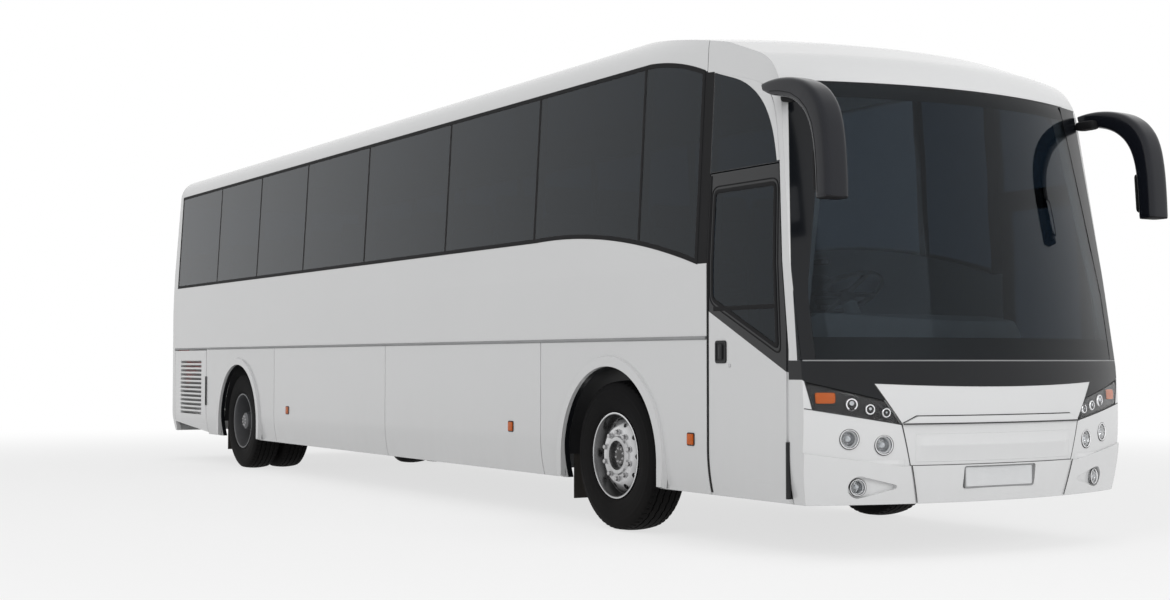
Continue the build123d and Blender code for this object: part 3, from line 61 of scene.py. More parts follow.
# sizes of the body that the trim is fitted to, in metres
bodySize = {
    "halfWidth": 1.25, "skirtZ": 0.32, "tuckZ": 0.60, "skirtTuck": 0.035, "leanZ": 1.70, "lean": 0.086,
    "eaveZ": 3.232,
    "noseX": 6.125, "noseRadius": 3.1, "footTuck": 0.07, "footZ": 0.2, "widestZ": 0.98, "footRadius": 2.5,
    "screenFootZ": 1.09, "screenFootBack": 0.008, "browZ": 2.875, "browBack": 0.29,
    "tailX": -6.225, "tailLeanZ": 1.4, "tailLean": 0.13, "tailWidestZ": 0.9, "tailTuck": 0.1,
    "tailOver": 0.2, "crownZ": 3.33,
    "frontAxleX": 3.775, "rearAxleX": -3.775, "wheelZ": 0.5,
}
noseAxisX = bodySize["noseX"] - bodySize["noseRadius"]
sides = (("right", -1.0), ("left", 1.0))


# half width of the body at a height: round tuck at the skirt, upright wall, then a straight lean to the
# eaves
def sideY(z):
    s = bodySize
    z = np.asarray(z, float)
    tuck = np.clip((s["tuckZ"] - z) / (s["tuckZ"] - s["skirtZ"]), 0, 1) ** 2
    low = s["halfWidth"] - s["skirtTuck"] * tuck
    return low - s["lean"] * np.clip((z - s["leanZ"]) / (s["eaveZ"] - s["leanZ"]), 0, 1.05)


# station of the nose at a place across and a height: an upright profile turned about an upright axis; the
# profile is an arc from the foot to the widest level, then straight to the foot of the windscreen, then
# straight up its slope
def noseX(y, z, lift=0.0):
    s = bodySize
    z = np.asarray(z, float)
    rise, run = s["widestZ"] - s["footZ"], s["footTuck"]
    half = np.hypot(run, rise) / 2
    height = np.sqrt(s["footRadius"] ** 2 - half ** 2)
    arcX = -run / 2 - height * rise / (2 * half)
    arcZ = (s["footZ"] + s["widestZ"]) / 2 + height * run / (2 * half)
    foot = -(arcX + np.sqrt(s["footRadius"] ** 2 - (np.minimum(z, s["widestZ"]) - arcZ) ** 2))
    sill = s["screenFootBack"] * np.clip((z - s["widestZ"]) / (s["screenFootZ"] - s["widestZ"]), 0, 1)
    slope = (s["browBack"] - s["screenFootBack"]) / (s["browZ"] - s["screenFootZ"])
    back = foot + sill + slope * np.clip(z - s["screenFootZ"], 0, None)
    return noseAxisX + np.sqrt((s["noseRadius"] - back + lift) ** 2 - np.asarray(y, float) ** 2)


# station of the tail at a height: tucked foot, upright middle, lean above
def tailX(z):
    s = bodySize
    z = np.asarray(z, float)
    foot = s["tailTuck"] * np.clip((s["tailWidestZ"] - z) / (s["tailWidestZ"] - s["skirtZ"]), 0, 1)
    lean = np.clip((z - s["tailLeanZ"]) / (s["crownZ"] + s["tailOver"] - s["tailLeanZ"]), 0, 1)
    return s["tailX"] + foot + s["tailLean"] * lean


# faces of a grid of rows by columns, wrapped where it closes
def gridFaces(rows, cols, wrapRows=False, wrapCols=False):
    r = np.arange(rows if wrapRows else rows - 1)
    c = np.arange(cols if wrapCols else cols - 1)
    a, b = np.meshgrid(r, c, indexing="ij")
    a2, b2 = (a + 1) % rows, (b + 1) % cols
    return np.stack([a * cols + b, a2 * cols + b, a2 * cols + b2, a * cols + b2], -1).reshape(-1, 4)


# one mesh object at the origin, doubles merged, faces turned outward, smooth up to an angle
def addPiece(name, points, faces, material, body, slotName, smooth=35.0, merge=1e-5, closed=True):
    mesh = bpy.data.meshes.new(name)
    mesh.from_pydata(np.asarray(points, float).reshape(-1, 3).tolist(), [],
                     [list(map(int, f)) for f in faces])
    bm = bmesh.new()
    bm.from_mesh(mesh)
    bmesh.ops.remove_doubles(bm, verts=bm.verts, dist=merge)
    bmesh.ops.dissolve_degenerate(bm, edges=bm.edges, dist=merge)
    if closed:
        bmesh.ops.recalc_face_normals(bm, faces=bm.faces)
    bm.to_mesh(mesh)
    bm.free()
    mesh.shade_smooth()
    mesh.set_sharp_from_angle(angle=math.radians(smooth))
    mesh.materials.append(material)
    piece = bpy.data.objects.new(name, mesh)
    bpy.context.scene.collection.objects.link(piece)
    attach(piece, body)
    return piece


# several shapes joined as arrays: each is (points, faces)
def joinShapes(shapes):
    start = np.cumsum([0] + [len(p) for p, f in shapes[:-1]])
    points = np.concatenate([np.asarray(p, float).reshape(-1, 3) for p, f in shapes])
    faces = [list(map(int, np.asarray(face) + s)) for (p, f), s in zip(shapes, start) for face in f]
    return points, faces


# a profile of (radius, height) carried once round an axis through a point
def turnedShape(profile, centre, axis, steps=48, spin=0.0):
    profile = np.asarray(profile, float)
    axis = np.asarray(axis, float) / np.linalg.norm(axis)
    helper = np.array([0.0, 0.0, 1.0]) if abs(axis[2]) < 0.9 else np.array([1.0, 0.0, 0.0])
    across = np.cross(axis, helper)
    across /= np.linalg.norm(across)
    up = np.cross(axis, across)
    angle = np.linspace(0, 2 * np.pi, steps, endpoint=False) + spin
    ring = np.cos(angle)[:, None] * across + np.sin(angle)[:, None] * up
    points = centre + ring[:, None, :] * profile[None, :, :1] + axis * profile[None, :, 1:2]
    return points.reshape(-1, 3), gridFaces(steps, len(profile), wrapRows=True)


# a closed rounded block: a ball whose sines and cosines are raised to a power, so that it squares up
def cushionShape(centre, half, power, rows, cols):
    u = np.linspace(-np.pi / 2, np.pi / 2, rows)[:, None]
    v = np.linspace(-np.pi, np.pi, cols, endpoint=False)[None, :]
    bend = lambda t: np.sign(t) * np.abs(t) ** power
    x = bend(np.cos(u)) * bend(np.cos(v))
    y = bend(np.cos(u)) * bend(np.sin(v))
    z = bend(np.sin(u)) + 0 * v
    points = np.stack([x, y, z], -1) * np.asarray(half) + np.asarray(centre)
    return points.reshape(-1, 3), gridFaces(rows, cols, wrapCols=True)


# a strip that lies on a surface: a path on it, its width across, proud by a thickness, with a crowned top
def stripShape(path, across, outward, width, proud, sink=0.004, crown=5):
    path, across, outward = (np.asarray(a, float) for a in (path, across, outward))
    across = np.broadcast_to(across, path.shape)
    outward = np.broadcast_to(outward, path.shape)
    t = np.linspace(-1, 1, crown)
    lift = proud * (1 - 0.35 * t ** 4)
    spread = lambda at: path[:, None] + across[:, None] * (at * width / 2)[None, :, None]
    top = spread(t) + outward[:, None] * lift[None, :, None]
    foot = spread(np.array([1, -1])) - outward[:, None] * sink
    loop = np.concatenate([top, foot], 1)
    n, m = loop.shape[:2]
    faces = [list(f) for f in gridFaces(n, m, wrapCols=True)]
    faces.append(list(range(m)))
    faces.append([(n - 1) * m + k for k in range(m)][::-1])
    return loop.reshape(-1, 3), faces


# an outline with its corners rounded: each corner is a curve pulled towards it, each edge is cut into equal
# runs
def roundedOutline(corners, radius, perCorner=6, perEdge=8):
    corners = np.asarray(corners, float)
    before, after = np.roll(corners, 1, 0), np.roll(corners, -1, 0)
    reach = lambda far: (far - corners) / np.linalg.norm(far - corners, axis=1, keepdims=True) * radius
    arrive, leave = corners + reach(before), corners + reach(after)
    t = np.linspace(0, 1, perCorner)[None, :, None]
    bend = (1 - t) ** 2 * arrive[:, None] + 2 * t * (1 - t) * corners[:, None] + t ** 2 * leave[:, None]
    e = np.linspace(0, 1, perEdge + 2)[None, 1:-1, None]
    run = (1 - e) * leave[:, None] + e * np.roll(arrive, -1, 0)[:, None]
    return np.concatenate([bend, run], 1).reshape(-1, 2)


# corners moved inward along the mitre of their two edges
def insetCorners(corners, amount):
    corners = np.asarray(corners, float)
    area = np.sum(corners[:, 0] * np.roll(corners[:, 1], -1) - np.roll(corners[:, 0], -1) * corners[:, 1])
    go = np.roll(corners, -1, 0) - corners
    go /= np.linalg.norm(go, axis=1, keepdims=True)
    inward = np.sign(area) * np.stack([-go[:, 1], go[:, 0]], 1)
    last = np.roll(inward, 1, 0)
    return corners + amount * (inward + last) / (1 + np.sum(inward * last, 1, keepdims=True))


# places of flat outlines on the body: (x, z) on a side, (y, z) on the nose or the tail, raised by a lift
def onSide(side):
    return lambda ab, lift: np.stack([ab[..., 0], side * (sideY(ab[..., 1]) + lift), ab[..., 1]], -1)


def onNose(ab, lift):
    return np.stack([noseX(ab[..., 0], ab[..., 1], lift), ab[..., 0], ab[..., 1]], -1)


def onTail(ab, lift):
    return np.stack([tailX(ab[..., 1]) - lift, ab[..., 0], ab[..., 1]], -1)


# level directions straight out of the nose, at places on it
def noseOutward(path):
    outward = np.stack([path[:, 0] - noseAxisX, path[:, 1], 0 * path[:, 0]], 1)
    return outward / np.linalg.norm(outward, axis=1, keepdims=True)


# an upright line on a side, at one station
def uprightLine(place, x, z):
    return place(np.stack([np.full_like(z, x), z], 1), np.zeros_like(z))


# corners of a flat box, from its middle and half sizes
def boxCorners(a, b, wide, tall):
    return [(a - wide, b - tall), (a + wide, b - tall), (a + wide, b + tall), (a - wide, b + tall)]


# points at shares of a run of corners, counted by corner
def evenLine(corners, shares):
    corners = np.asarray(corners, float)
    knots = np.linspace(0, 1, len(corners))
    return np.stack([np.interp(shares, knots, corners[:, k]) for k in (0, 1)], 1)


# the same, smoothed by a moving mean of so many neighbours each way
def easedLine(corners, count, reach):
    weights = np.ones(2 * reach + 1) / (2 * reach + 1)
    mean = lambda v: np.convolve(np.pad(v, reach, "reflect", reflect_type="odd"), weights, "valid")
    return np.apply_along_axis(mean, 0, evenLine(corners, np.linspace(0, 1, count)))


# a plate on a surface: rings of the outline shrink to its middle on top and underneath, each with its own
# lift
def plaqueShape(outline, place, rings):
    outline = np.asarray(outline, float)
    middle = (outline.max(0) + outline.min(0)) / 2
    loops = [place(middle + scale * (outline - middle), lift + 0 * outline[:, 0]) for scale, lift in rings]
    return np.concatenate(loops), gridFaces(len(rings), len(outline), wrapCols=True)


def domedRings(proud, sink, dome=0.0):
    return ((0, proud + dome), (0.55, proud + 0.7 * dome), (0.86, proud + 0.25 * dome), (0.96, proud),
            (1, 0.6 * proud), (1, -sink), (0, -sink))


# a frame on a surface: outer foot, outer top, inner top and inner foot, closed all round
def bandShape(outer, inner, place, proud, sink):
    outer, inner = np.asarray(outer, float), np.asarray(inner, float)
    level = np.zeros(len(outer))
    soft = 0.25
    loops = [place(outer, level - sink), place(outer, level + proud * 0.7),
             place(outer + soft * (inner - outer), level + proud),
             place(inner + soft * (outer - inner), level + proud), place(inner, level + proud * 0.7),
             place(inner, level - sink)]
    return np.concatenate(loops), gridFaces(len(loops), len(outer), wrapRows=True, wrapCols=True)


# a frame of one width inside an outline
def frameShape(corners, width, radius, place, proud, sink, perEdge=10):
    outer = roundedOutline(corners, radius, 6, perEdge)
    inner = roundedOutline(insetCorners(corners, width), max(radius - width, 0.004), 6, perEdge)
    return bandShape(outer, inner, place, proud, sink)


# a patch of a surface between two rows of places, closed with a back of its own
def patchShape(places, lift, depth, place):
    rows, cols = places.shape[:2]
    front = place(places, np.full((rows, cols), lift)).reshape(-1, 3)
    back = place(places, np.full((rows, cols), lift - depth)).reshape(-1, 3)
    ring = np.concatenate([np.arange(cols), np.arange(1, rows) * cols + cols - 1,
                           (rows - 1) * cols + np.arange(cols - 2, -1, -1),
                           np.arange(rows - 2, 0, -1) * cols])
    count = rows * cols
    walls = np.stack([ring, np.roll(ring, -1), np.roll(ring, -1) + count, ring + count], 1)
    grid = gridFaces(rows, cols)
    return np.concatenate([front, back]), np.concatenate([grid, grid[:, ::-1] + count, walls])


# a round bar along a path: a ring square to the path at each point, ends closed to their middles
def barShape(path, radius, steps=12):
    path = np.asarray(path, float)
    along = np.gradient(path, axis=0)
    along /= np.linalg.norm(along, axis=1, keepdims=True)
    helper = np.where(np.abs(along[:, 2:]) < 0.9, np.array([[0.0, 0.0, 1.0]]), np.array([[1.0, 0.0, 0.0]]))
    across = np.cross(along, helper)
    across /= np.linalg.norm(across, axis=1, keepdims=True)
    up = np.cross(along, across)
    angle = np.linspace(0, 2 * np.pi, steps, endpoint=False)
    ring = np.cos(angle)[None, :, None] * across[:, None] + np.sin(angle)[None, :, None] * up[:, None]
    radius = np.broadcast_to(np.asarray(radius, float), (len(path),))
    loops = path[:, None] + ring * radius[:, None, None]
    loops = np.concatenate([np.repeat(path[:1, None], steps, 1), loops,
                            np.repeat(path[-1:, None], steps, 1)])
    return loops.reshape(-1, 3), gridFaces(len(loops), steps, wrapCols=True)


# a CAD node's form with its doubles merged and its curved faces shaded smooth
def dressNode(name, material, angle=28.0):
    source = nodes[name].data
    points = np.empty(len(source.vertices) * 3)
    source.vertices.foreach_get("co", points)
    source.calc_loop_triangles()
    tris = np.empty(len(source.loop_triangles) * 3, int)
    source.loop_triangles.foreach_get("vertices", tris)
    spots, where = np.unique(np.round(points.reshape(-1, 3), 5), axis=0, return_inverse=True)
    tris = where.reshape(-1)[tris].reshape(-1, 3)
    good = (tris[:, 0] != tris[:, 1]) & (tris[:, 1] != tris[:, 2]) & (tris[:, 0] != tris[:, 2])
    mesh = bpy.data.meshes.new(name + "_dressed")
    mesh.from_pydata(spots.tolist(), [], tris[good].tolist())
    mesh.shade_smooth()
    mesh.set_sharp_from_angle(angle=math.radians(angle))
    mesh.materials.append(material)
    piece = bpy.data.objects.new(name + "_dressed", mesh)
    bpy.context.scene.collection.objects.link(piece)
    weigh = piece.modifiers.new("Even shading", "WEIGHTED_NORMAL")
    weigh.keep_sharp = True
    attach(piece, nodes[name]["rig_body"])
    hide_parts(name)
    return piece


slotOf = {row["node"]: row["material_slot"] for row in frame["record"]["subparts"]}
print("coach: slots", len(set(slotOf.values())))


# shader groups shared by the materials
def newGroup(name, inputs, outputs):
    group = bpy.data.node_groups.new(name, "ShaderNodeTree")
    for socketName, kind, value in inputs:
        socket = group.interface.new_socket(socketName, in_out="INPUT", socket_type=kind)
        socket.default_value = value
    for socketName, kind in outputs:
        group.interface.new_socket(socketName, in_out="OUTPUT", socket_type=kind)
    start = group.nodes.new("NodeGroupInput")
    end = group.nodes.new("NodeGroupOutput")
    return group, start, end


def addNode(tree, kind, links=None, **values):
    node = tree.nodes.new(kind)
    for key, value in values.items():
        if key.startswith("in_"):
            node.inputs[key[3:].replace("_", " ")].default_value = value
        else:
            setattr(node, key, value)
    for socketName, source in (links or {}).items():
        tree.links.new(source, node.inputs[socketName])
    return node


def mathNode(tree, operation, a, b=None, clamp=False):
    node = tree.nodes.new("ShaderNodeMath")
    node.operation = operation
    node.use_clamp = clamp
    for index, value in enumerate((a, b)):
        if value is None:
            continue
        if isinstance(value, (int, float)):
            node.inputs[index].default_value = value
        else:
            tree.links.new(value, node.inputs[index])
    return node.outputs[0]


def mixColour(tree, factor, a, b):
    node = tree.nodes.new("ShaderNodeMix")
    node.data_type = "RGBA"
    for index, value in ((0, factor), (6, a), (7, b)):
        if isinstance(value, (int, float)):
            node.inputs[index].default_value = value
        elif isinstance(value, tuple):
            node.inputs[index].default_value = (*value, 1.0)
        else:
            tree.links.new(value, node.inputs[index])
    return node.outputs[2]


# road film: dust that thickens towards the ground, broken up by noise
def makeRoadFilm():
    group, start, end = newGroup(
        "road film",
        [("Colour", "NodeSocketColor", (0.8, 0.8, 0.8, 1)),
         ("Film Colour", "NodeSocketColor", (0.2, 0.18, 0.15, 1)),
         ("Top", "NodeSocketFloat", 1.1), ("Strength", "NodeSocketFloat", 0.3),
         ("Roughness", "NodeSocketFloat", 0.2)],
        [("Colour", "NodeSocketColor"), ("Roughness", "NodeSocketFloat"), ("Mask", "NodeSocketFloat")],
    )
    coords = addNode(group, "ShaderNodeTexCoord")
    split = addNode(group, "ShaderNodeSeparateXYZ", {"Vector": coords.outputs["Object"]})
    low = mathNode(group, "DIVIDE", mathNode(group, "SUBTRACT", start.outputs["Top"], split.outputs["Z"]),
                   start.outputs["Top"], True)
    streak = addNode(group, "ShaderNodeMapping", {"Vector": coords.outputs["Object"]},
                     in_Scale=(6.0, 6.0, 1.2))
    noise = addNode(group, "ShaderNodeTexNoise", {"Vector": streak.outputs[0]}, in_Scale=1.6, in_Detail=6.0,
                    in_Roughness=0.62)
    mask = mathNode(group, "MULTIPLY", mathNode(group, "MULTIPLY", low, noise.outputs[0]),
                    start.outputs["Strength"], True)
    group.links.new(mixColour(group, mask, start.outputs["Colour"], start.outputs["Film Colour"]),
                    end.inputs["Colour"])
    group.links.new(mathNode(group, "ADD", start.outputs["Roughness"],
                             mathNode(group, "MULTIPLY", mask, 0.5), True), end.inputs["Roughness"])
    group.links.new(mask, end.inputs["Mask"])
    return group


# grain: fine noise over coarse noise as a height, with a colour that follows it a little
def makeGrain():
    group, start, end = newGroup(
        "surface grain",
        [("Fine", "NodeSocketFloat", 400.0), ("Coarse", "NodeSocketFloat", 8.0),
         ("Share", "NodeSocketFloat", 0.5),
         ("Colour", "NodeSocketColor", (0.5, 0.5, 0.5, 1)), ("Vary", "NodeSocketFloat", 0.1)],
        [("Height", "NodeSocketFloat"), ("Colour", "NodeSocketColor"), ("Mask", "NodeSocketFloat")],
    )
    coords = addNode(group, "ShaderNodeTexCoord")
    fine = addNode(group, "ShaderNodeTexNoise", {"Vector": coords.outputs["Object"],
                                                 "Scale": start.outputs["Fine"]}, in_Detail=3.0)
    coarse = addNode(group, "ShaderNodeTexNoise", {"Vector": coords.outputs["Object"],
                                                   "Scale": start.outputs["Coarse"]}, in_Detail=4.0)
    mix = addNode(group, "ShaderNodeMix", {0: start.outputs["Share"], 2: coarse.outputs[0],
                                           3: fine.outputs[0]})
    group.links.new(mix.outputs[0], end.inputs["Height"])
    shift = mathNode(group, "MULTIPLY", mathNode(group, "SUBTRACT", coarse.outputs[0], 0.5),
                     start.outputs["Vary"])
    tone = addNode(group, "ShaderNodeHueSaturation", {"Color": start.outputs["Colour"],
                                                      "Value": mathNode(group, "ADD", shift, 1.0)})
    group.links.new(tone.outputs[0], end.inputs["Colour"])
    group.links.new(coarse.outputs[0], end.inputs["Mask"])
    return group


# weave: two crossed waves that show by turns, as warp and weft do
def makeWeave():
    group, start, end = newGroup(
        "cloth weave",
        [("Threads", "NodeSocketFloat", 300.0), ("Colour", "NodeSocketColor", (0.1, 0.1, 0.2, 1)),
         ("Thread Colour", "NodeSocketColor", (0.2, 0.2, 0.3, 1))],
        [("Height", "NodeSocketFloat"), ("Colour", "NodeSocketColor")],
    )
    coords = addNode(group, "ShaderNodeTexCoord")
    threads = {"Vector": coords.outputs["Object"], "Scale": start.outputs["Threads"]}
    warp = addNode(group, "ShaderNodeTexWave", threads, bands_direction="Y", in_Distortion=0.3)
    weft = addNode(group, "ShaderNodeTexWave", threads, bands_direction="Z", in_Distortion=0.3)
    height = mathNode(group, "MAXIMUM", warp.outputs[1], weft.outputs[1])
    patch = addNode(group, "ShaderNodeTexVoronoi", {"Vector": coords.outputs["Object"]}, in_Scale=28.0)
    dots = mathNode(group, "LESS_THAN", patch.outputs["Distance"], 0.22)
    group.links.new(height, end.inputs["Height"])
    group.links.new(mixColour(group, mathNode(group, "MULTIPLY", dots, height), start.outputs["Colour"],
                              start.outputs["Thread Colour"]), end.inputs["Colour"])
    return group


roadFilm = makeRoadFilm()
grain = makeGrain()
weave = makeWeave()


def newMaterial(name, **sockets):
    material = bpy.data.materials.new(name)
    material.use_nodes = True
    tree = material.node_tree
    shader = tree.nodes["Principled BSDF"]
    for key, value in sockets.items():
        socket = shader.inputs[key.replace("_", " ")]
        colour = isinstance(value, tuple) and socket.type == "RGBA"
        socket.default_value = (*value, 1.0) if colour else value
    return material, tree, shader


def addGroup(tree, group, **values):
    node = tree.nodes.new("ShaderNodeGroup")
    node.node_tree = group
    for key, value in values.items():
        socket = node.inputs[key.replace("_", " ")]
        if hasattr(value, "is_output"):
            tree.links.new(value, socket)
        else:
            socket.default_value = (*value, 1.0) if isinstance(value, tuple) else value
    return node


def bumpFrom(tree, shader, height, strength, distance, rounding=0.0):
    bump = tree.nodes.new("ShaderNodeBump")
    bump.inputs["Strength"].default_value = strength
    bump.inputs["Distance"].default_value = distance
    tree.links.new(height, bump.inputs["Height"])
    if rounding:
        edge = addNode(tree, "ShaderNodeBevel", samples=6, in_Radius=rounding)
        tree.links.new(edge.outputs[0], bump.inputs["Normal"])
    tree.links.new(bump.outputs[0], shader.inputs["Normal"])


# Object coordinates taken apart
def splitObject(tree):
    coords = addNode(tree, "ShaderNodeTexCoord")
    return addNode(tree, "ShaderNodeSeparateXYZ", {"Vector": coords.outputs["Object"]})


# colour and roughness of a film group on a shader
def linkFilm(tree, film, shader):
    tree.links.new(film.outputs["Colour"], shader.inputs["Base Color"])
    tree.links.new(film.outputs["Roughness"], shader.inputs["Roughness"])


# masks on Object coordinates: 1 above a line through two points of the side view
def aboveLine(tree, first, second, soft=0.002):
    (x1, z1), (x2, z2) = first, second
    split = splitObject(tree)
    slope = (z2 - z1) / (x2 - x1)
    line = mathNode(tree, "MULTIPLY_ADD", split.outputs["X"], slope)
    line.node.inputs[2].default_value = z1 - slope * x1
    return mathNode(tree, "DIVIDE", mathNode(tree, "SUBTRACT", split.outputs["Z"], line), soft, True)


# 1 inside a box of the side view
def insideBox(tree, low, high):
    split = splitObject(tree)
    tests = [mathNode(tree, "GREATER_THAN", split.outputs["X"], low[0]),
             mathNode(tree, "LESS_THAN", split.outputs["X"], high[0]),
             mathNode(tree, "GREATER_THAN", split.outputs["Z"], low[1]),
             mathNode(tree, "LESS_THAN", split.outputs["Z"], high[1])]
    mask = tests[0]
    for test in tests[1:]:
        mask = mathNode(tree, "MULTIPLY", mask, test)
    return mask


paintLook = {"white": (0.72, 0.725, 0.73), "film": (0.30, 0.28, 0.25), "filmTop": 0.95,
             "filmStrength": 0.15, "edge": 0.006}


def makePaint(name, blackMask=None):
    material, tree, shader = newMaterial(name, Coat_Weight=0.55, Coat_Roughness=0.05,
                                         Specular_IOR_Level=0.5)
    look = paintLook
    skin = addGroup(tree, grain, Fine=900.0, Coarse=0.9, Share=0.35, Colour=look["white"], Vary=0.05)
    film = addGroup(tree, roadFilm, Colour=skin.outputs["Colour"], Film_Colour=look["film"],
                    Top=look["filmTop"],
                    Strength=look["filmStrength"], Roughness=0.24)
    colour = film.outputs["Colour"]
    if blackMask is not None:
        mask = blackMask(tree)
        colour = mixColour(tree, mask, colour, (0.008, 0.009, 0.011))
        tree.links.new(mathNode(tree, "SUBTRACT", 0.55, mathNode(tree, "MULTIPLY", mask, 0.48)),
                       shader.inputs["Coat Weight"])
        shader.inputs["Specular IOR Level"].default_value = 0.35
    tree.links.new(colour, shader.inputs["Base Color"])
    tree.links.new(film.outputs["Roughness"], shader.inputs["Roughness"])
    bumpFrom(tree, shader, skin.outputs["Height"], 0.05, 0.0006, look["edge"])
    return material


def makeGlossBlack(name, colour=(0.007, 0.008, 0.010), rough=0.16, edge=0.004, gloss=0.12):
    material, tree, shader = newMaterial(name, Coat_Weight=gloss, Coat_Roughness=0.04,
                                         Specular_IOR_Level=0.22)
    skin = addGroup(tree, grain, Fine=1200.0, Coarse=3.0, Share=0.3, Colour=colour, Vary=0.4)
    film = addGroup(tree, roadFilm, Colour=skin.outputs["Colour"], Film_Colour=(0.06, 0.056, 0.052),
                    Top=1.4, Strength=0.10, Roughness=rough)
    linkFilm(tree, film, shader)
    bumpFrom(tree, shader, skin.outputs["Height"], 0.03, 0.0004, edge)
    return material


def makeGrained(name, colour, rough, fine=700.0, strength=0.25, distance=0.0008, vary=0.35, film=0.25,
                metal=0.0, edge=0.003, filmTop=1.3, gloss=0.5):
    material, tree, shader = newMaterial(name, Metallic=metal, Specular_IOR_Level=gloss)
    skin = addGroup(tree, grain, Fine=fine, Coarse=6.0, Share=0.6, Colour=colour, Vary=vary)
    dust = addGroup(tree, roadFilm, Colour=skin.outputs["Colour"], Film_Colour=(0.16, 0.14, 0.12),
                    Top=filmTop, Strength=film, Roughness=rough)
    linkFilm(tree, dust, shader)
    bumpFrom(tree, shader, skin.outputs["Height"], strength, distance, edge)
    return material


def makeGlass(name, tint, rough, ior=1.5, smear=0.02, tone=(1.0, 1.0, 1.0)):
    material, tree, shader = newMaterial(name, Base_Color=tint, Transmission_Weight=1.0, IOR=ior,
                                         Metallic=0.0, Specular_Tint=tone)
    skin = addGroup(tree, grain, Fine=60.0, Coarse=2.2, Share=0.3)
    streak = mathNode(tree, "MULTIPLY_ADD", skin.outputs["Mask"], smear)
    streak.node.inputs[2].default_value = rough
    tree.links.new(streak, shader.inputs["Roughness"])
    bumpFrom(tree, shader, skin.outputs["Height"], 0.004, 0.0004)
    return material


def makeLens(name, colour, transmission=0.7, rough=0.08, coat=0.4, ior=1.49):
    material, tree, shader = newMaterial(name, Transmission_Weight=transmission, IOR=ior, Coat_Weight=coat)
    ribs = addGroup(tree, grain, Fine=300.0, Coarse=40.0, Share=0.4, Colour=colour, Vary=0.25)
    tree.links.new(ribs.outputs["Colour"], shader.inputs["Base Color"])
    shader.inputs["Roughness"].default_value = rough
    bumpFrom(tree, shader, ribs.outputs["Height"], 0.25, 0.001)
    return material


def makeCloth(name, colour, thread):
    material, tree, shader = newMaterial(name, Roughness=0.9, Sheen_Weight=0.35, Sheen_Roughness=0.5)
    cloth = addGroup(tree, weave, Threads=160.0, Colour=colour, Thread_Colour=thread)
    tree.links.new(cloth.outputs["Colour"], shader.inputs["Base Color"])
    bumpFrom(tree, shader, cloth.outputs["Height"], 0.4, 0.002)
    return material


# 1 on faces that lie inside the skin of the skirts: nearer to the middle than the skin less a margin
def insideSkirt(tree, margin=0.010):
    split = splitObject(tree)
    drop = mathNode(tree, "DIVIDE", mathNode(tree, "SUBTRACT", bodySize["tuckZ"], split.outputs["Z"]),
                    bodySize["tuckZ"] - bodySize["skirtZ"], True)
    tuck = mathNode(tree, "MULTIPLY", mathNode(tree, "MULTIPLY", drop, drop), bodySize["skirtTuck"])
    limit = mathNode(tree, "SUBTRACT", bodySize["halfWidth"] - margin, tuck)
    return mathNode(tree, "LESS_THAN", mathNode(tree, "ABSOLUTE", split.outputs["Y"]), limit)


# tone of the front wheels by share of the distance from the axle: painted shade in the hub and the rim's
# well, a painted highlight on the rim's edge
wheelPaintedShadeLook = {"reach": 0.32, "stops": ((0.0, 0.05), (0.20, 0.09), (0.26, 0.30), (0.33, 0.52), (0.55, 0.62),
                                       (0.68, 0.40), (0.76, 0.20), (0.86, 0.26), (0.885, 0.80))}


# wheel of polished metal whose tone follows the distance from the axle; that tone is painted light: painted
# shade, dark in the hub and in the well of the rim, and a painted highlight on the edge of the rim
def makePolishedWheelPaintedShade(name, axleX):
    material, tree, shader = newMaterial(name, Metallic=1.0)
    split = splitObject(tree)
    x = mathNode(tree, "SUBTRACT", split.outputs["X"], axleX)
    z = mathNode(tree, "SUBTRACT", split.outputs["Z"], bodySize["wheelZ"])
    away = mathNode(tree, "SQRT", mathNode(tree, "ADD", mathNode(tree, "MULTIPLY", x, x),
                                           mathNode(tree, "MULTIPLY", z, z)))
    # the ramp paints shade and a highlight into the metal's colour by distance from the axle
    ramp = addNode(tree, "ShaderNodeValToRGB", {"Fac": mathNode(tree, "DIVIDE", away, wheelPaintedShadeLook["reach"])})
    for index, (at, tone) in enumerate(wheelPaintedShadeLook["stops"]):
        stop = ramp.color_ramp.elements[index] if index < 2 else ramp.color_ramp.elements.new(at)
        stop.position = at
        stop.color = (tone, tone * 1.005, tone * 1.02, 1.0)
    skin = addGroup(tree, grain, Fine=320.0, Coarse=9.0, Share=0.6, Colour=ramp.outputs["Color"], Vary=0.7)
    dust = addGroup(tree, roadFilm, Colour=skin.outputs["Colour"], Film_Colour=(0.10, 0.09, 0.08), Top=1.0,
                    Strength=0.5, Roughness=0.2)
    linkFilm(tree, dust, shader)
    bumpFrom(tree, shader, skin.outputs["Height"], 0.08, 0.0008, 0.004)
    return material


doorSplit = {"rear": (4.951, 1.425), "front": (5.712, 1.066)}
bodyPaint = makePaint("body paint")
# boxes of the side view where a painted panel is black
capMarks = {"doorHead": ((4.6, 2.25), (5.62, 2.281)), "quarterRear": ((4.918, 2.2), (4.94, 2.888)),
            "roofJoint": ((4.845, 2.9), (4.850, 3.5)), "entrance": ((4.0, 0.765), (6.0, 3.0))}


# the front cap is black above the door head and behind the quarter pane, and dark along its joint with the
# roof
def capBlack(tree):
    marks = ("doorHead", "quarterRear", "roofJoint")
    first, second, third = (insideBox(tree, *capMarks[key]) for key in marks)
    return mathNode(tree, "MAXIMUM", first, mathNode(tree, "MAXIMUM", second, third))


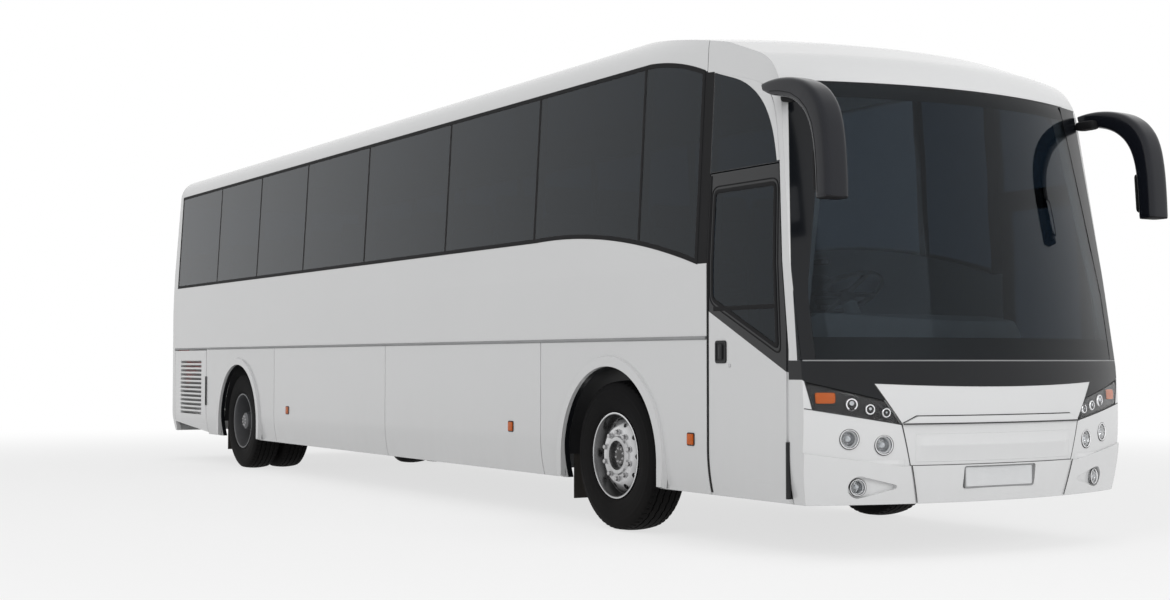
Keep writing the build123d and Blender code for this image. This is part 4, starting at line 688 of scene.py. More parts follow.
capPaint = makePaint("front cap paint", capBlack)
doorPaint = makePaint("door paint", lambda tree: aboveLine(tree, doorSplit["rear"], doorSplit["front"]))
entrancePaint = makePaint("entrance door paint", lambda tree: insideBox(tree, *capMarks["entrance"]))
frontGloss = makeGlossBlack("front band gloss")
trimBlack = makeGrained("black trim", (0.011, 0.012, 0.014), 0.42, film=0.12, gloss=0.25)
rubberBlack = makeGrained("seal rubber", (0.012, 0.012, 0.013), 0.68, fine=1500.0, film=0.12, gloss=0.15)
sideGlass = makeGlass("tinted side glass", (0.026, 0.042, 0.062), 0.004, 1.31, tone=(0.74, 0.88, 1.0))
screenGlass = makeGlass("windscreen glass", (0.17, 0.195, 0.215), 0.003, 1.30, tone=(0.86, 0.93, 1.0))
clearLens = makeGlass("clear lens", (0.97, 0.975, 0.98), 0.006, 1.22)
redLens = makeLens("red lens", (0.62, 0.02, 0.015))
amberLens = makeLens("amber lens", (0.78, 0.15, 0.004), 0.35, 0.12, 0.05, 1.30)
frameSteel = makeGrained("chassis paint", (0.045, 0.047, 0.05), 0.5, fine=240.0, strength=0.3, film=0.7)
axleIron = makeGrained("axle iron", (0.06, 0.058, 0.056), 0.55, fine=180.0, strength=0.5, film=0.8)
springRubber = makeGrained("spring rubber", (0.016, 0.016, 0.016), 0.7, film=0.5, gloss=0.2)
tyreRubber = makeGrained("tyre rubber", (0.006, 0.006, 0.0065), 0.74, fine=500.0, strength=0.3, film=0.06,
                         filmTop=1.0, gloss=0.08)
# front wheels: metal whose colour holds painted shade and a painted highlight
polishedWheelPaintedShade = makePolishedWheelPaintedShade("polished wheel painted shade", bodySize["frontAxleX"])
skirtPaint = makePaint("skirt paint", insideSkirt)
wheelGrey = makeGrained("grey wheel", (0.15, 0.155, 0.165), 0.42, fine=320.0, strength=0.12, metal=0.6,
                        film=0.5, filmTop=1.0)
floorGrey = makeGrained("saloon floor", (0.16, 0.165, 0.17), 0.6, film=0.2)
dashGrey = makeGrained("dash moulding", (0.50, 0.51, 0.52), 0.5, fine=900.0, film=0.0)
seatCloth = makeCloth("seat cloth", (0.035, 0.045, 0.075), (0.16, 0.17, 0.22))
borderBlack = makeGlossBlack("windscreen border", (0.006, 0.0065, 0.008), 0.3, edge=0.0, gloss=0.0)
jointDark = makeGrained("panel joint", (0.035, 0.036, 0.038), 0.7, fine=900.0, film=0.2, edge=0.0)
sealGrey = makeGrained("seal grey", (0.30, 0.305, 0.31), 0.5, fine=900.0, film=0.2)
nutSteel = makeGrained("nut steel", (0.52, 0.52, 0.53), 0.3, fine=400.0, strength=0.15, metal=1.0, film=0.5,
                       filmTop=1.2)
lampChrome = makeGrained("lamp chrome", (0.86, 0.86, 0.87), 0.08, fine=500.0, strength=0.02, metal=1.0,
                         film=0.05, edge=0.0)
bowlSilver = makeGrained("lamp bowl silver", (0.42, 0.425, 0.43), 0.22, fine=500.0, strength=0.05,
                         metal=1.0, film=0.05, edge=0.0)
bulbGlass = makeLens("bulb glass", (0.85, 0.88, 0.92), 0.35, 0.05)
plateWhite = makeGrained("plate white", (0.70, 0.71, 0.72), 0.35, fine=700.0, strength=0.05, vary=0.06,
                         film=0.15)
mirrorSilver = makeGrained("mirror silver", (0.85, 0.86, 0.88), 0.03, fine=300.0, strength=0.01, metal=1.0,
                           vary=0.05, film=0.0, edge=0.0)

lookOfSlot = {
    "body_white": bodyPaint, "front_black": frontGloss, "tinted_glass": sideGlass,
    "screen_glass": screenGlass,
    "black_trim": trimBlack, "lamp_clear": clearLens, "lamp_red": redLens, "steel_frame": frameSteel,
    "axle_iron": axleIron, "spring_rubber": springRubber, "tyre_black": tyreRubber, "wheel_grey": wheelGrey,
    "wheel_bright": polishedWheelPaintedShade, "floor_grey": floorGrey, "seat_fabric": seatCloth, "dash_grey": dashGrey,
}
housingBlack = makeGlossBlack("lamp housing", (0.010, 0.010, 0.011), 0.3, gloss=0.05)
mirrorBlack = makeGlossBlack("mirror shell", (0.007, 0.008, 0.012), 0.22, edge=0.0, gloss=0.20)
lookOfNode = {
    "crew_door": doorPaint, "entrance_door": entrancePaint, "front_cap": capPaint,
    "right_skirt": skirtPaint,
    "left_skirt": skirtPaint, "window_pillars": rubberBlack, "headlamps": housingBlack,
    "belt_rails": sealGrey,
}

# nodes whose look comes from a detailed piece instead of a dressed copy
redrawn = {"seats", "round_lamps", "mirrors", "right_front_tyre", "left_front_tyre", "right_rear_tyres",
           "left_rear_tyres"}
for nodeName in sorted(set(nodes) - redrawn):
    dressNode(nodeName, lookOfNode.get(nodeName, lookOfSlot[slotOf[nodeName]]))
print("coach: nodes dressed")

# tyres
tyreLook = {
    "radius": 0.4995, "steps": 240, "treadHalf": 0.116, "crown": 0.012,
    "wallRadius": (0.2866, 0.300, 0.325, 0.365, 0.405, 0.440, 0.465, 0.481),
    "wallOut": (0.116, 0.1255, 0.1335, 0.1388, 0.1392, 0.1360, 0.1300, 0.1210),
    "grooves": (-0.070, -0.024, 0.024, 0.070), "grooveWidth": 0.011, "grooveDepth": 0.012,
    "zigzag": 0.0035, "waves": 40, "notches": 60, "notchDepth": 0.008, "notchFrom": 0.092,
    "ridges": (0.318, 0.428, 0.4365), "ridgeProud": 0.0016, "ridgeWidth": 0.0045,
}


# tyre: a loop of side wall, tread and side wall carried round the axle; the tread's radius falls to the
# square of the distance from the middle, drops in the grooves, and drops in notches along the shoulders
def tyreShape(axleX, middleY):
    s = tyreLook
    angle = np.linspace(0, 2 * np.pi, s["steps"], endpoint=False)[:, None]
    wallR = np.linspace(s["wallRadius"][0], s["wallRadius"][-1], 30)
    wallY = np.interp(wallR, s["wallRadius"], s["wallOut"])
    fromRidge = (wallR[:, None] - np.array(s["ridges"])) / s["ridgeWidth"]
    wallY = wallY + s["ridgeProud"] * np.exp(-(fromRidge ** 2)).sum(1)
    edges = np.array(s["grooves"])[:, None] + s["grooveWidth"] * np.array([-0.5, -0.36, 0.36, 0.5])
    treadY = np.unique(np.concatenate([edges.ravel(), np.array([-1, 1]) * s["notchFrom"],
                                       np.linspace(-1, 1, 11) * s["treadHalf"]]))[::-1]
    inGroove = (np.abs(treadY[:, None] - np.array(s["grooves"])) < s["grooveWidth"] * 0.4).any(1)
    treadR = s["radius"] - s["crown"] * (treadY / s["treadHalf"]) ** 2 - s["grooveDepth"] * inGroove
    shoulder = np.abs(treadY) > s["notchFrom"]
    notch = s["notchDepth"] * (np.cos(s["notches"] * angle) > 0.2) * shoulder
    sway = s["zigzag"] * np.arcsin(np.sin(s["waves"] * angle)) / 1.57 * (np.abs(treadY) < 0.09)
    still = np.zeros_like(angle)
    across = np.concatenate([wallY + still, treadY + sway, -wallY[::-1] + still], 1)
    radius = np.concatenate([wallR + still, treadR - notch, wallR[::-1] + still], 1)
    points = np.stack([axleX + radius * np.cos(angle), middleY + across,
                       bodySize["wheelZ"] + radius * np.sin(angle)], -1)
    return points.reshape(-1, 3), gridFaces(*across.shape, wrapRows=True, wrapCols=True)


wheelPlace = {"track": 1.07, "twin": 0.75}
for word, side in sides:
    single = tyreShape(bodySize["frontAxleX"], side * wheelPlace["track"])
    twins = joinShapes([tyreShape(bodySize["rearAxleX"], side * out) for out in wheelPlace.values()])
    front = addPiece(word + "_front_tyre_tread", *single, tyreRubber, word + "_front_wheel", "tyre_black",
                     smooth=32)
    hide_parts(word + "_front_tyre")
    rear = addPiece(word + "_rear_tyre_treads", *twins, tyreRubber, word + "_rear_wheels", "tyre_black",
                    smooth=32)
    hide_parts(word + "_rear_tyres")

# wheel nuts and hub bolts: size is radius, height and collar; front and rear are the distance of the face
# from the track
nutLook = {
    "wheel_nuts": {"circle": 0.155, "count": 10, "size": (0.0165, 0.027, 0.0215), "front": 0.104,
                   "rear": -0.058},
    "hub_bolts": {"circle": 0.046, "count": 8, "size": (0.007, 0.009, 0.0095), "front": 0.092,
                  "rear": 0.112},
}
wheelEnds = (("front", "_front_wheel", "wheel_bright"), ("rear", "_rear_wheels", "wheel_grey"))


# nut: a collar of revolution with a six-sided body and a domed end on it
def nutShape(place, axis, radius, height, collar):
    body = [(0, height), (0.55 * radius, height), (0.9 * radius, height * 0.86), (radius, height * 0.74),
            (radius, 0.12 * height), (radius, 0)]
    ring = [(radius * 0.9, 0.22 * height), (collar, 0.16 * height), (collar, 0), (0, 0)]
    return joinShapes([turnedShape(body, place, axis, 6), turnedShape(ring, place, axis, 18)])


def nutRing(axleX, faceY, side, circle, count, radius, height, collar):
    angle = np.linspace(0, 2 * np.pi, count, endpoint=False) + 0.3
    spots = np.stack([axleX + circle * np.cos(angle), np.full(count, faceY),
                      bodySize["wheelZ"] + circle * np.sin(angle)], 1)
    return joinShapes([nutShape(spot, (0, side, 0), radius, height, collar) for spot in spots])


for word, side in sides:
    for kind, s in nutLook.items():
        for end, body, slotName in wheelEnds:
            faceY = side * (wheelPlace["track"] + s[end])
            ring = nutRing(bodySize[end + "AxleX"], faceY, side, s["circle"], s["count"], *s["size"])
            addPiece(word + "_" + end + "_" + kind, *ring, nutSteel, word + body, slotName, smooth=25)
print("coach: wheels dressed")

# seats: pads, backs with head rolls, and frames
seatLook = {
    "rows": 12, "pitch": 0.78, "startX": -5.870, "inY": 0.26, "outY": 1.16,
    "deckZ": 1.33, "plinth": 0.32, "headZ": 1.08,
    "crewX": 4.795, "crewY": (-0.85, -0.37), "crewFloorZ": 0.85, "crewPlinth": 0.40, "crewHeadZ": 1.25,
    "padLength": 0.47, "padHeight": 0.12, "padTuck": 0.01, "padSink": 0.012, "padRise": 0.028, "gap": 0.008,
    "backLength": 0.11, "backLean": 0.09, "backFoot": 0.05, "backSet": 0.012, "backSwell": 0.015,
    "backCrown": 0.3, "overlap": 0.03, "rollHeight": 0.22, "rollInset": 0.03, "rollSet": 0.004,
    "shellInset": 0.01, "shellDrop": 0.02, "shellDepth": 0.03,
    "frameX": 0.25, "trayX": 0.27, "trayZ": 0.006, "tray": (0.19, 0.03, 0.016), "leg": (0.10, 0.045),
    "foot": (0.16, 0.10, 0.012), "square": 0.12, "armIn": 0.012, "armZ": 0.25, "arm": (0.15, 0.02, 0.022),
    "armSquare": 0.3, "postX": 0.12, "postZ": (0.24, 0.1, 0.004), "postRadius": 0.011,
}


# pad: a ball squared up by powers, crowned on top, its sides drawn in between the corners, with sewn
# channels pressed in lengthwise; then leant by shearing x with height
def padShape(low, high, lean=0.0, power=0.34, crown=0.14, draw=0.06, channels=2, press=0.05, rows=17,
             cols=36, face=2):
    u = np.linspace(-np.pi / 2, np.pi / 2, rows)[:, None]
    v = np.linspace(-np.pi, np.pi, cols, endpoint=False)[None, :]
    bend = lambda t: np.sign(t) * np.abs(t) ** power
    a, b, c = bend(np.cos(u)) * bend(np.cos(v)), bend(np.cos(u)) * bend(np.sin(v)), bend(np.sin(u)) + 0 * v
    hollow = 1 - draw * (1 - b ** 2) * np.abs(a) ** 2
    rise = 1 - crown + crown * (1 - a ** 2) * (1 - b ** 2)
    lines = np.linspace(-0.42, 0.42, channels) if channels else np.array([])
    dent = press * np.exp(-(((b[..., None] - lines) / 0.07) ** 2)).sum(-1) * (1 - np.abs(a) ** 6)
    c = np.where(c > 0, c * (rise - dent), c * rise)
    unit = np.stack([a * hollow, b, c], -1) if face == 2 else np.stack([c, b, a * hollow], -1)
    low, high = np.asarray(low, float), np.asarray(high, float)
    points = (low + high) / 2 + unit * (high - low) / 2
    points[..., 0] -= lean * (points[..., 2] - low[2]) / (high[2] - low[2])
    return points.reshape(-1, 3), gridFaces(rows, cols, wrapCols=True)


def seatParts(rearX, yMin, yMax, floorZ, plinth, headZ, places):
    s = seatLook
    padZ, topZ = floorZ + plinth, floorZ + headZ
    footZ, neckZ = padZ + s["backFoot"], topZ - s["rollHeight"]
    leanAt = lambda z: s["backLean"] * (z - padZ) / (topZ - padZ)
    backX, rollX = rearX - leanAt(footZ), rearX - leanAt(neckZ)
    edges = np.linspace(yMin, yMax, places + 1)
    pads, backs, frames = [], [], []
    for low, high in zip(edges[:-1] + s["gap"], edges[1:] - s["gap"]):
        pads.append(padShape(
            (rearX + s["backLength"] - s["padTuck"], low, padZ + s["padSink"]),
            (rearX + s["padLength"], high, padZ + s["padHeight"] + s["padRise"]),
        ))
        backs.append(padShape(
            (backX + s["backSet"], low, footZ),
            (backX + s["backLength"] + s["backSwell"], high, neckZ + s["overlap"]),
            leanAt(neckZ) - leanAt(footZ), crown=s["backCrown"], face=0,
        ))
        backs.append(padShape(
            (rollX + s["rollSet"], low + s["rollInset"], neckZ),
            (rollX + s["backLength"] + s["rollSet"], high - s["rollInset"], topZ),
            leanAt(topZ) - leanAt(neckZ), crown=s["backCrown"], channels=0, face=0,
        ))
        frames.append(padShape(
            (backX, low + s["shellInset"], padZ - s["shellDrop"]),
            (backX + s["shellDepth"], high - s["shellInset"], neckZ),
            leanAt(neckZ) - leanAt(padZ), power=0.2, crown=0.1, channels=0, face=0, rows=9, cols=24,
        ))
    middle, frameX = (yMin + yMax) / 2, rearX + s["frameX"]
    trayLength, trayIn, trayDeep = s["tray"]
    tray = (trayLength, (yMax - yMin) / 2 - trayIn, trayDeep)
    frames.append(cushionShape((rearX + s["trayX"], middle, padZ + s["trayZ"]), tray, s["square"], 9, 24))
    frames.append(cushionShape((frameX, middle, floorZ + plinth / 2), (*s["leg"], plinth / 2), s["square"],
                               9, 24))
    frames.append(cushionShape((frameX, middle, floorZ + s["foot"][2]), s["foot"], s["square"], 9, 24))
    for y in (yMin + s["armIn"], yMax - s["armIn"]):
        frames.append(cushionShape((frameX, y, padZ + s["armZ"]), s["arm"], s["armSquare"], 9, 20))
        frames.append(barShape([(rearX + s["postX"], y, padZ + z) for z in s["postZ"]], s["postRadius"], 8))
    return pads, backs, frames


def makeSeats():
    s = seatLook
    spots = [(s["startX"] + row * s["pitch"], *sorted((side * s["inY"], side * s["outY"])), s["deckZ"],
              s["plinth"], s["headZ"], 2)
             for row in range(s["rows"]) for word, side in sides]
    spots.append((s["crewX"], *s["crewY"], s["crewFloorZ"], s["crewPlinth"], s["crewHeadZ"], 1))
    parts = [seatParts(*spot) for spot in spots]
    pads = addPiece("seat_pads", *joinShapes([shape for part in parts for shape in part[0]]), seatCloth,
                    "coach", "seat_fabric", smooth=80)
    backs = addPiece("seat_backs", *joinShapes([shape for part in parts for shape in part[1]]), seatCloth,
                     "coach", "seat_fabric", smooth=80)
    addPiece("seat_frames", *joinShapes([shape for part in parts for shape in part[2]]), trimBlack, "coach",
             "black_trim", smooth=50)
    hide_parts("seats")


makeSeats()
print("coach: seats made")

# windscreen: dark border printed on the inner face, black trims along its sides, and the seal between glass
# and apron
screenLook = {
    "sill": 1.133, "head": 2.747, "sillBand": 1.262, "headBand": 2.655, "edge": 1.241, "edgeIn": 0.014,
    "depth": 0.0055, "print": 0.0015, "sideFoot": 5.815, "sideHead": 5.665,
    "trimAt": 1.172, "trimLevel": 2.5, "trimSlope": 0.0886, "trimWidth": 0.075, "trimClear": 0.004,
    "trimIn": 0.003, "trimLift": 0.0016, "trimDepth": 0.0030,
    "wrapHead": 1.56, "wrapRear": 0.003, "wrapFront": 0.006,
    "sealHalf": 1.24, "sealZ": 1.1302, "sealWidth": 0.007, "sealProud": 0.0022,
}


def bandPlaces(a0, a1, b0, b1, rows, cols):
    a, b = np.meshgrid(np.linspace(a0, a1, cols), np.linspace(b0, b1, rows))
    return np.stack([a, b], -1)


def screenEdge(z):
    return np.minimum(screenLook["edge"], sideY(z) - screenLook["edgeIn"])


# station of the glass's edge on a side at a height: a straight line from its foot to its head
def glassEdgeX(z):
    s = screenLook
    return s["sideFoot"] + (s["sideHead"] - s["sideFoot"]) * (z - s["sill"]) / (s["head"] - s["sill"])


def makeScreenBorder():
    s = screenLook
    shapes, trims = [], []
    for foot, head in ((s["sill"], s["sillBand"]), (s["headBand"], s["head"])):
        band = bandPlaces(-1, 1, foot, head, 4, 64)
        band[..., 0] *= screenEdge(band[..., 1])
        shapes.append(patchShape(band, -s["depth"], s["print"], onNose))
    for word, side in sides:
        post = bandPlaces(0, 1, s["sill"] + s["trimClear"], s["head"] - s["trimClear"], 40, 5)
        z = post[..., 1]
        glassEdge = np.sqrt((noseX(0.0, z) - noseAxisX) ** 2 - (glassEdgeX(z) - noseAxisX) ** 2)
        outer = np.minimum(s["trimAt"] + s["trimSlope"] * (s["trimLevel"] - z), sideY(z) - s["trimIn"])
        inner = np.minimum(glassEdge, outer) - s["trimWidth"]
        post[..., 0] = side * (inner + post[..., 0] * (outer - inner))
        trims.append(patchShape(post, s["trimLift"], s["trimDepth"], onNose))
        wrap = bandPlaces(0, 1, s["sill"], s["wrapHead"], 10, 4)
        z = wrap[..., 1]
        rearX = s["wrapRear"] + glassEdgeX(z)
        wrap[..., 0] = rearX + wrap[..., 0] * np.maximum(noseX(sideY(z), z) - s["wrapFront"] - rearX, 0.0)
        shapes.append(patchShape(wrap, -s["depth"], s["print"], onSide(side)))
    addPiece("windscreen_border", *joinShapes(shapes), borderBlack, "coach", "front_black", smooth=40)
    addPiece("windscreen_side_trims", *joinShapes(trims), frontGloss, "coach", "front_black", smooth=40)
    sill = np.stack([np.linspace(-s["sealHalf"], s["sealHalf"], 80), np.full(80, s["sealZ"])], 1)
    path = onNose(sill, np.zeros(80))
    seal = stripShape(path, (0, 0, 1), noseOutward(path), s["sealWidth"], s["sealProud"])
    addPiece("windscreen_seal", *seal, sealGrey, "coach", "black_trim", smooth=50)


makeScreenBorder()
print("coach: windscreen bordered")

# side windows: rubber in the pane joints and a black rail all round the glazing
paneLook = {
    "joints": (-4.576, -3.276, -1.949, -0.441, 1.221, 2.710, 4.134), "width": 0.026, "jointEnd": 0.003,
    "jointProud": 0.0016, "jointSink": 0.003, "foot": 1.985, "head": 3.05,
    "rearX": -6.018, "curveX": 2.750, "headX": 4.186, "bowFoot": (3.955, 1.915), "postFoot": (4.818, 1.728),
    "postHead": (4.818, 2.917), "bowHead": (4.515, 3.005),
    "rail": 0.030, "outside": 0.007, "railProud": 0.0028, "railSink": 0.002,
}


# points of the circle through three points, from the first to the last
def arcThrough(first, middle, last, count=24):
    (ax, az), (bx, bz), (cx, cz) = first, middle, last
    area = 2 * (ax * (bz - cz) + bx * (cz - az) + cx * (az - bz))
    aa, bb, cc = ax ** 2 + az ** 2, bx ** 2 + bz ** 2, cx ** 2 + cz ** 2
    ux = (aa * (bz - cz) + bb * (cz - az) + cc * (az - bz)) / area
    uz = (aa * (cx - bx) + bb * (ax - cx) + cc * (bx - ax)) / area
    start, end = math.atan2(az - uz, ax - ux), math.atan2(cz - uz, cx - ux)
    turn = np.linspace(start, start + (end - start + math.pi) % (2 * math.pi) - math.pi, count)
    radius = math.hypot(ax - ux, az - uz)
    return np.stack([ux + radius * np.cos(turn), uz + radius * np.sin(turn)], 1)


def makePaneSeals():
    s = paneLook
    foot = arcThrough((s["curveX"], s["foot"]), s["bowFoot"], s["postFoot"])
    head = arcThrough(s["postHead"], s["bowHead"], (s["headX"], s["head"]))
    outline = np.concatenate([foot, head, [(s["rearX"], s["head"]), (s["rearX"], s["foot"])]])
    for word, side in sides:
        rail = insetCorners(outline, -s["outside"]), insetCorners(outline, s["rail"] - s["outside"])
        shapes = [bandShape(*rail, onSide(side), s["railProud"], s["railSink"])]
        for x in s["joints"]:
            top = np.interp(x, head[::-1, 0], head[::-1, 1]) if x > s["headX"] else s["head"]
            low = np.interp(x, foot[:, 0], foot[:, 1]) if x > s["curveX"] else s["foot"]
            z = np.linspace(low + s["jointEnd"], top - s["jointEnd"], 24)
            path = uprightLine(onSide(side), x, z)
            shapes.append(stripShape(path, (1, 0, 0), (0, side, 0), s["width"], s["jointProud"],
                                     s["jointSink"]))
        addPiece(word + "_pane_seals", *joinShapes(shapes), rubberBlack, "coach", "black_trim", smooth=50)


makePaneSeals()

# crew door: frames round its window, bar, handle, lock and the seals along its edges; a rim is its distance
# outside the glass, its width, its corner radius and its height
doorLook = {
    "glass": ((4.997, 2.140), (5.574, 2.140), (5.619, 1.225), (4.997, 1.508)),
    "sink": 0.003, "stripSink": 0.004,
    "rims": ((0.024, 0.024, 0.05, 0.0045), (0.046, 0.008, 0.07, 0.003)),
    "bar": (5.0, 5.618), "barZ": 1.441, "barWidth": 0.026, "barProud": 0.004,
    "handle": (5.076, 1.182), "surround": (0.058, 0.068), "dish": (0.045, 0.055), "grip": (0.020, 0.046),
    "rearEdge": 4.9385, "rearSeal": (0.335, 2.252), "frontEdge": 5.7235, "frontSeal": (0.35, 0.67),
    "lock": (5.165, 1.10),
    "lockTurned": ((0, 0.006), (0.008, 0.006), (0.0105, 0.004), (0.0105, -0.002), (0, -0.002)),
}


def windowRims(s, place, perEdge=10):
    return joinShapes([frameShape(insetCorners(s["glass"], -out), width, radius, place, proud, s["sink"],
                                  perEdge)
                       for out, width, radius, proud in s["rims"]])


def makeDoorTrim():
    s = doorLook
    place = onSide(-1.0)
    out = (0, -1, 0)
    addPiece("crew_door_window_frame", *windowRims(s, place), rubberBlack, "crew_door", "black_trim",
             smooth=50)
    x = np.linspace(*s["bar"], 12)
    path = place(np.stack([x, np.full_like(x, s["barZ"])], 1), np.zeros_like(x))
    bar = stripShape(path, (0, 0, 1), out, s["barWidth"], s["barProud"], s["stripSink"])
    addPiece("crew_door_window_bar", *bar, rubberBlack, "crew_door", "black_trim", smooth=50)
    block = lambda key: boxCorners(*s["handle"], *s[key])
    handle = joinShapes([
        frameShape(block("surround"), 0.016, 0.020, place, 0.007, s["sink"]),
        plaqueShape(roundedOutline(block("dish"), 0.014), place, domedRings(0.0015, s["sink"])),
        plaqueShape(roundedOutline(block("grip"), 0.010), place, domedRings(0.009, 0.0, 0.003)),
    ])
    addPiece("crew_door_handle", *handle, trimBlack, "crew_door", "black_trim", smooth=40)
    rear = uprightLine(place, s["rearEdge"], np.linspace(*s["rearSeal"], 40))
    front = uprightLine(place, s["frontEdge"], np.linspace(*s["frontSeal"], 8))
    strips = [stripShape(rear, (1, 0, 0), out, 0.019, 0.004, s["stripSink"]),
              stripShape(front, (1, 0, 0), out, 0.022, 0.006, s["stripSink"])]
    addPiece("crew_door_edge_seals", *joinShapes(strips), rubberBlack, "crew_door", "black_trim", smooth=50)
    x, z = s["lock"]
    lock = turnedShape(s["lockTurned"], (x, -float(sideY(z)), z), out, 20)
    addPiece("crew_door_lock", *lock, nutSteel, "crew_door", "black_trim", smooth=35)


makeDoorTrim()

# entrance door of the left side: frame round its long window and the seal along its rear edge
entranceLook = {
    "glass": ((4.997, 2.140), (5.582, 2.140), (5.639, 0.800), (4.997, 0.800)), "sink": 0.003,
    "rims": ((0.024, 0.024, 0.05, 0.0045),), "rearEdge": 4.929, "rearSeal": (0.335, 2.25),
}


def makeEntranceTrim():
    s = entranceLook
    place = onSide(1.0)
    addPiece("entrance_door_window_frame", *windowRims(s, place, 24), rubberBlack, "coach", "black_trim",
             smooth=50)
    rear = uprightLine(place, s["rearEdge"], np.linspace(*s["rearSeal"], 40))
    seal = stripShape(rear, (1, 0, 0), (0, 1, 0), 0.019, 0.003, 0.004)
    addPiece("entrance_door_edge_seal", *seal, rubberBlack, "coach", "black_trim", smooth=50)


makeEntranceTrim()

# amber side markers on the body and the luggage doors of both sides
markerLook = {"places": ((-2.295, "rear_luggage_door"), (2.390, "front_luggage_door"), (4.753, "")),
              "z": 0.648, "half": 0.034, "rim": 0.006, "proud": 0.010}


def makeMarkers():
    s = markerLook
    for word, side in sides:
        for x, door in s["places"]:
            body = word + "_" + door if door else "coach"
            square = lambda half: boxCorners(x, s["z"], half, half)
            name = word + "_marker_" + (door or "front_skirt")
            lens = plaqueShape(roundedOutline(square(s["half"]), 0.010), onSide(side),
                               domedRings(s["proud"], 0.002, 0.003))
            addPiece(name + "_lens", *lens, amberLens, body, "lamp_red", smooth=40)
            rim = frameShape(square(s["half"] + s["rim"]), s["rim"], 0.014, onSide(side), 0.006, 0.002,
                             perEdge=4)
            addPiece(name + "_rim", *rim, trimBlack, body, "black_trim", smooth=40)


makeMarkers()
print("coach: side trim made")

# headlamp units: clear covers over the housings, projector bowls and lenses, indicators; round lamps in the
# bumper. Rings of a cover, an indicator or a bowl are (share of the size, lift); rims, edges, lenses and
# bulbs are shares of a lamp's radius and then levels along its axis
lampLook = {
    "cover": ((1.226, 1.000), (1.194, 0.858), (0.704, 0.775), (0.794, 0.900)),
    "coverRings": ((0, 0.0005), (0.5, 0.0005), (0.8, 0.0005), (0.97, 0.0), (1, -0.002), (1, -0.004),
                   (0.97, -0.004), (0.8, -0.0035), (0.5, -0.0035), (0, -0.0035)),
    "projectors": ((0.985, 0.884, 0.034), (0.880, 0.856, 0.028), (0.785, 0.836, 0.025)),
    "projectorSink": 0.0052,
    "projectorRim": (0.66, 1.16, -0.008, 0.0012), "projectorLens": (0.64, -0.001, 0.0018),
    "indicator": (1.128, 0.920, 0.055, 0.031),
    "indicatorRings": ((0, -0.0042), (0.8, -0.0042), (0.97, -0.0046), (1, -0.006), (1, -0.009),
                       (0, -0.009)),
    "rounds": ((1.000, 0.690, 0.056), (0.800, 0.655, 0.056), (0.935, 0.418, 0.048)),
    "roundRim": (0.88, 0.995, -0.006, 0.004), "roundEdge": (0.995, 1.055, -0.004, 0.0022),
    "roundLens": (0.9, -0.004, 0.005), "roundBulb": (0.30, -0.030, 0.020),
    "bowl": ((0.99, -0.005), (0.90, -0.006), (0.84, -0.014), (0.70, -0.018), (0.66, -0.016), (0.62, -0.022),
             (0.42, -0.032), (0.36, -0.030), (0.32, -0.034), (0, -0.034), (0, -0.044), (0.99, -0.044),
             (0.99, -0.005)),
}


# a place on the nose and its outward direction
def outwardAt(y, z):
    place = onNose(np.array([[y, z]]), np.zeros(1))
    return place[0], noseOutward(place)[0]


# profiles about that direction: a dome with a flat back, and a ring with its edges eased
def domeProfile(radius, base, rise, steps=7):
    t = np.linspace(0, np.pi / 2, steps)
    return np.concatenate([np.stack([radius * np.sin(t), base + rise * np.cos(t)], 1),
                           [(radius, base - 0.004), (0, base - 0.004)]])


def ringProfile(inner, outer, base, top):
    wide = outer - inner
    return [(outer, base), (outer, top - 0.3 * wide), (outer - 0.3 * wide, top), (inner + 0.3 * wide, top),
            (inner, top - 0.3 * wide), (inner, base), (outer, base)]


def makeLamps():
    s = lampLook
    ring = lambda key, radius: ringProfile(radius * s[key][0], radius * s[key][1], *s[key][2:])
    dome = lambda key, radius: domeProfile(radius * s[key][0], *s[key][1:])
    bulbs, rims, ambers, covers, lenses, bowls, edges = [], [], [], [], [], [], []
    for word, side in sides:
        cover = roundedOutline([(side * y, z) for y, z in s["cover"]], 0.03, 6, 14)
        covers.append(plaqueShape(cover, onNose, s["coverRings"]))
        for y, z, radius in s["projectors"]:
            place, outward = outwardAt(side * y, z)
            seat = place - s["projectorSink"] * outward
            rims.append(turnedShape(ring("projectorRim", radius), seat, outward, 40))
            bulbs.append(turnedShape(dome("projectorLens", radius), seat, outward, 32))
        y, z, wide, tall = s["indicator"]
        square = boxCorners(side * y, z, side * wide, tall)
        ambers.append(plaqueShape(roundedOutline(square, 0.016), onNose, s["indicatorRings"]))
        for y, z, radius in s["rounds"]:
            place, outward = outwardAt(side * y, z)
            rims.append(turnedShape(ring("roundRim", radius), place, outward, 48))
            edges.append(turnedShape(ring("roundEdge", radius), place, outward, 48))
            lenses.append(turnedShape(dome("roundLens", radius), place, outward, 48))
            bowls.append(turnedShape([(radius * a, d) for a, d in s["bowl"]], place, outward, 48))
            bulbs.append(turnedShape(dome("roundBulb", radius), place, outward, 32))
    addPiece("round_lamp_edges", *joinShapes(edges), jointDark, "coach", "black_trim", smooth=45)
    addPiece("headlamp_covers", *joinShapes(covers), clearLens, "coach", "lamp_clear", smooth=40)
    addPiece("headlamp_bowls", *joinShapes(rims), lampChrome, "coach", "wheel_bright", smooth=45)
    addPiece("headlamp_bulbs", *joinShapes(bulbs), bulbGlass, "coach", "lamp_clear", smooth=60)
    addPiece("headlamp_indicators", *joinShapes(ambers), amberLens, "coach", "lamp_red", smooth=50)
    dishes = addPiece("round_lamp_bowls", *joinShapes(bowls), bowlSilver, "coach", "lamp_clear", smooth=28)
    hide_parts("round_lamps")
    addPiece("round_lamp_lenses", *joinShapes(lenses), clearLens, "coach", "lamp_clear", smooth=60)


makeLamps()
print("coach: lamps made")

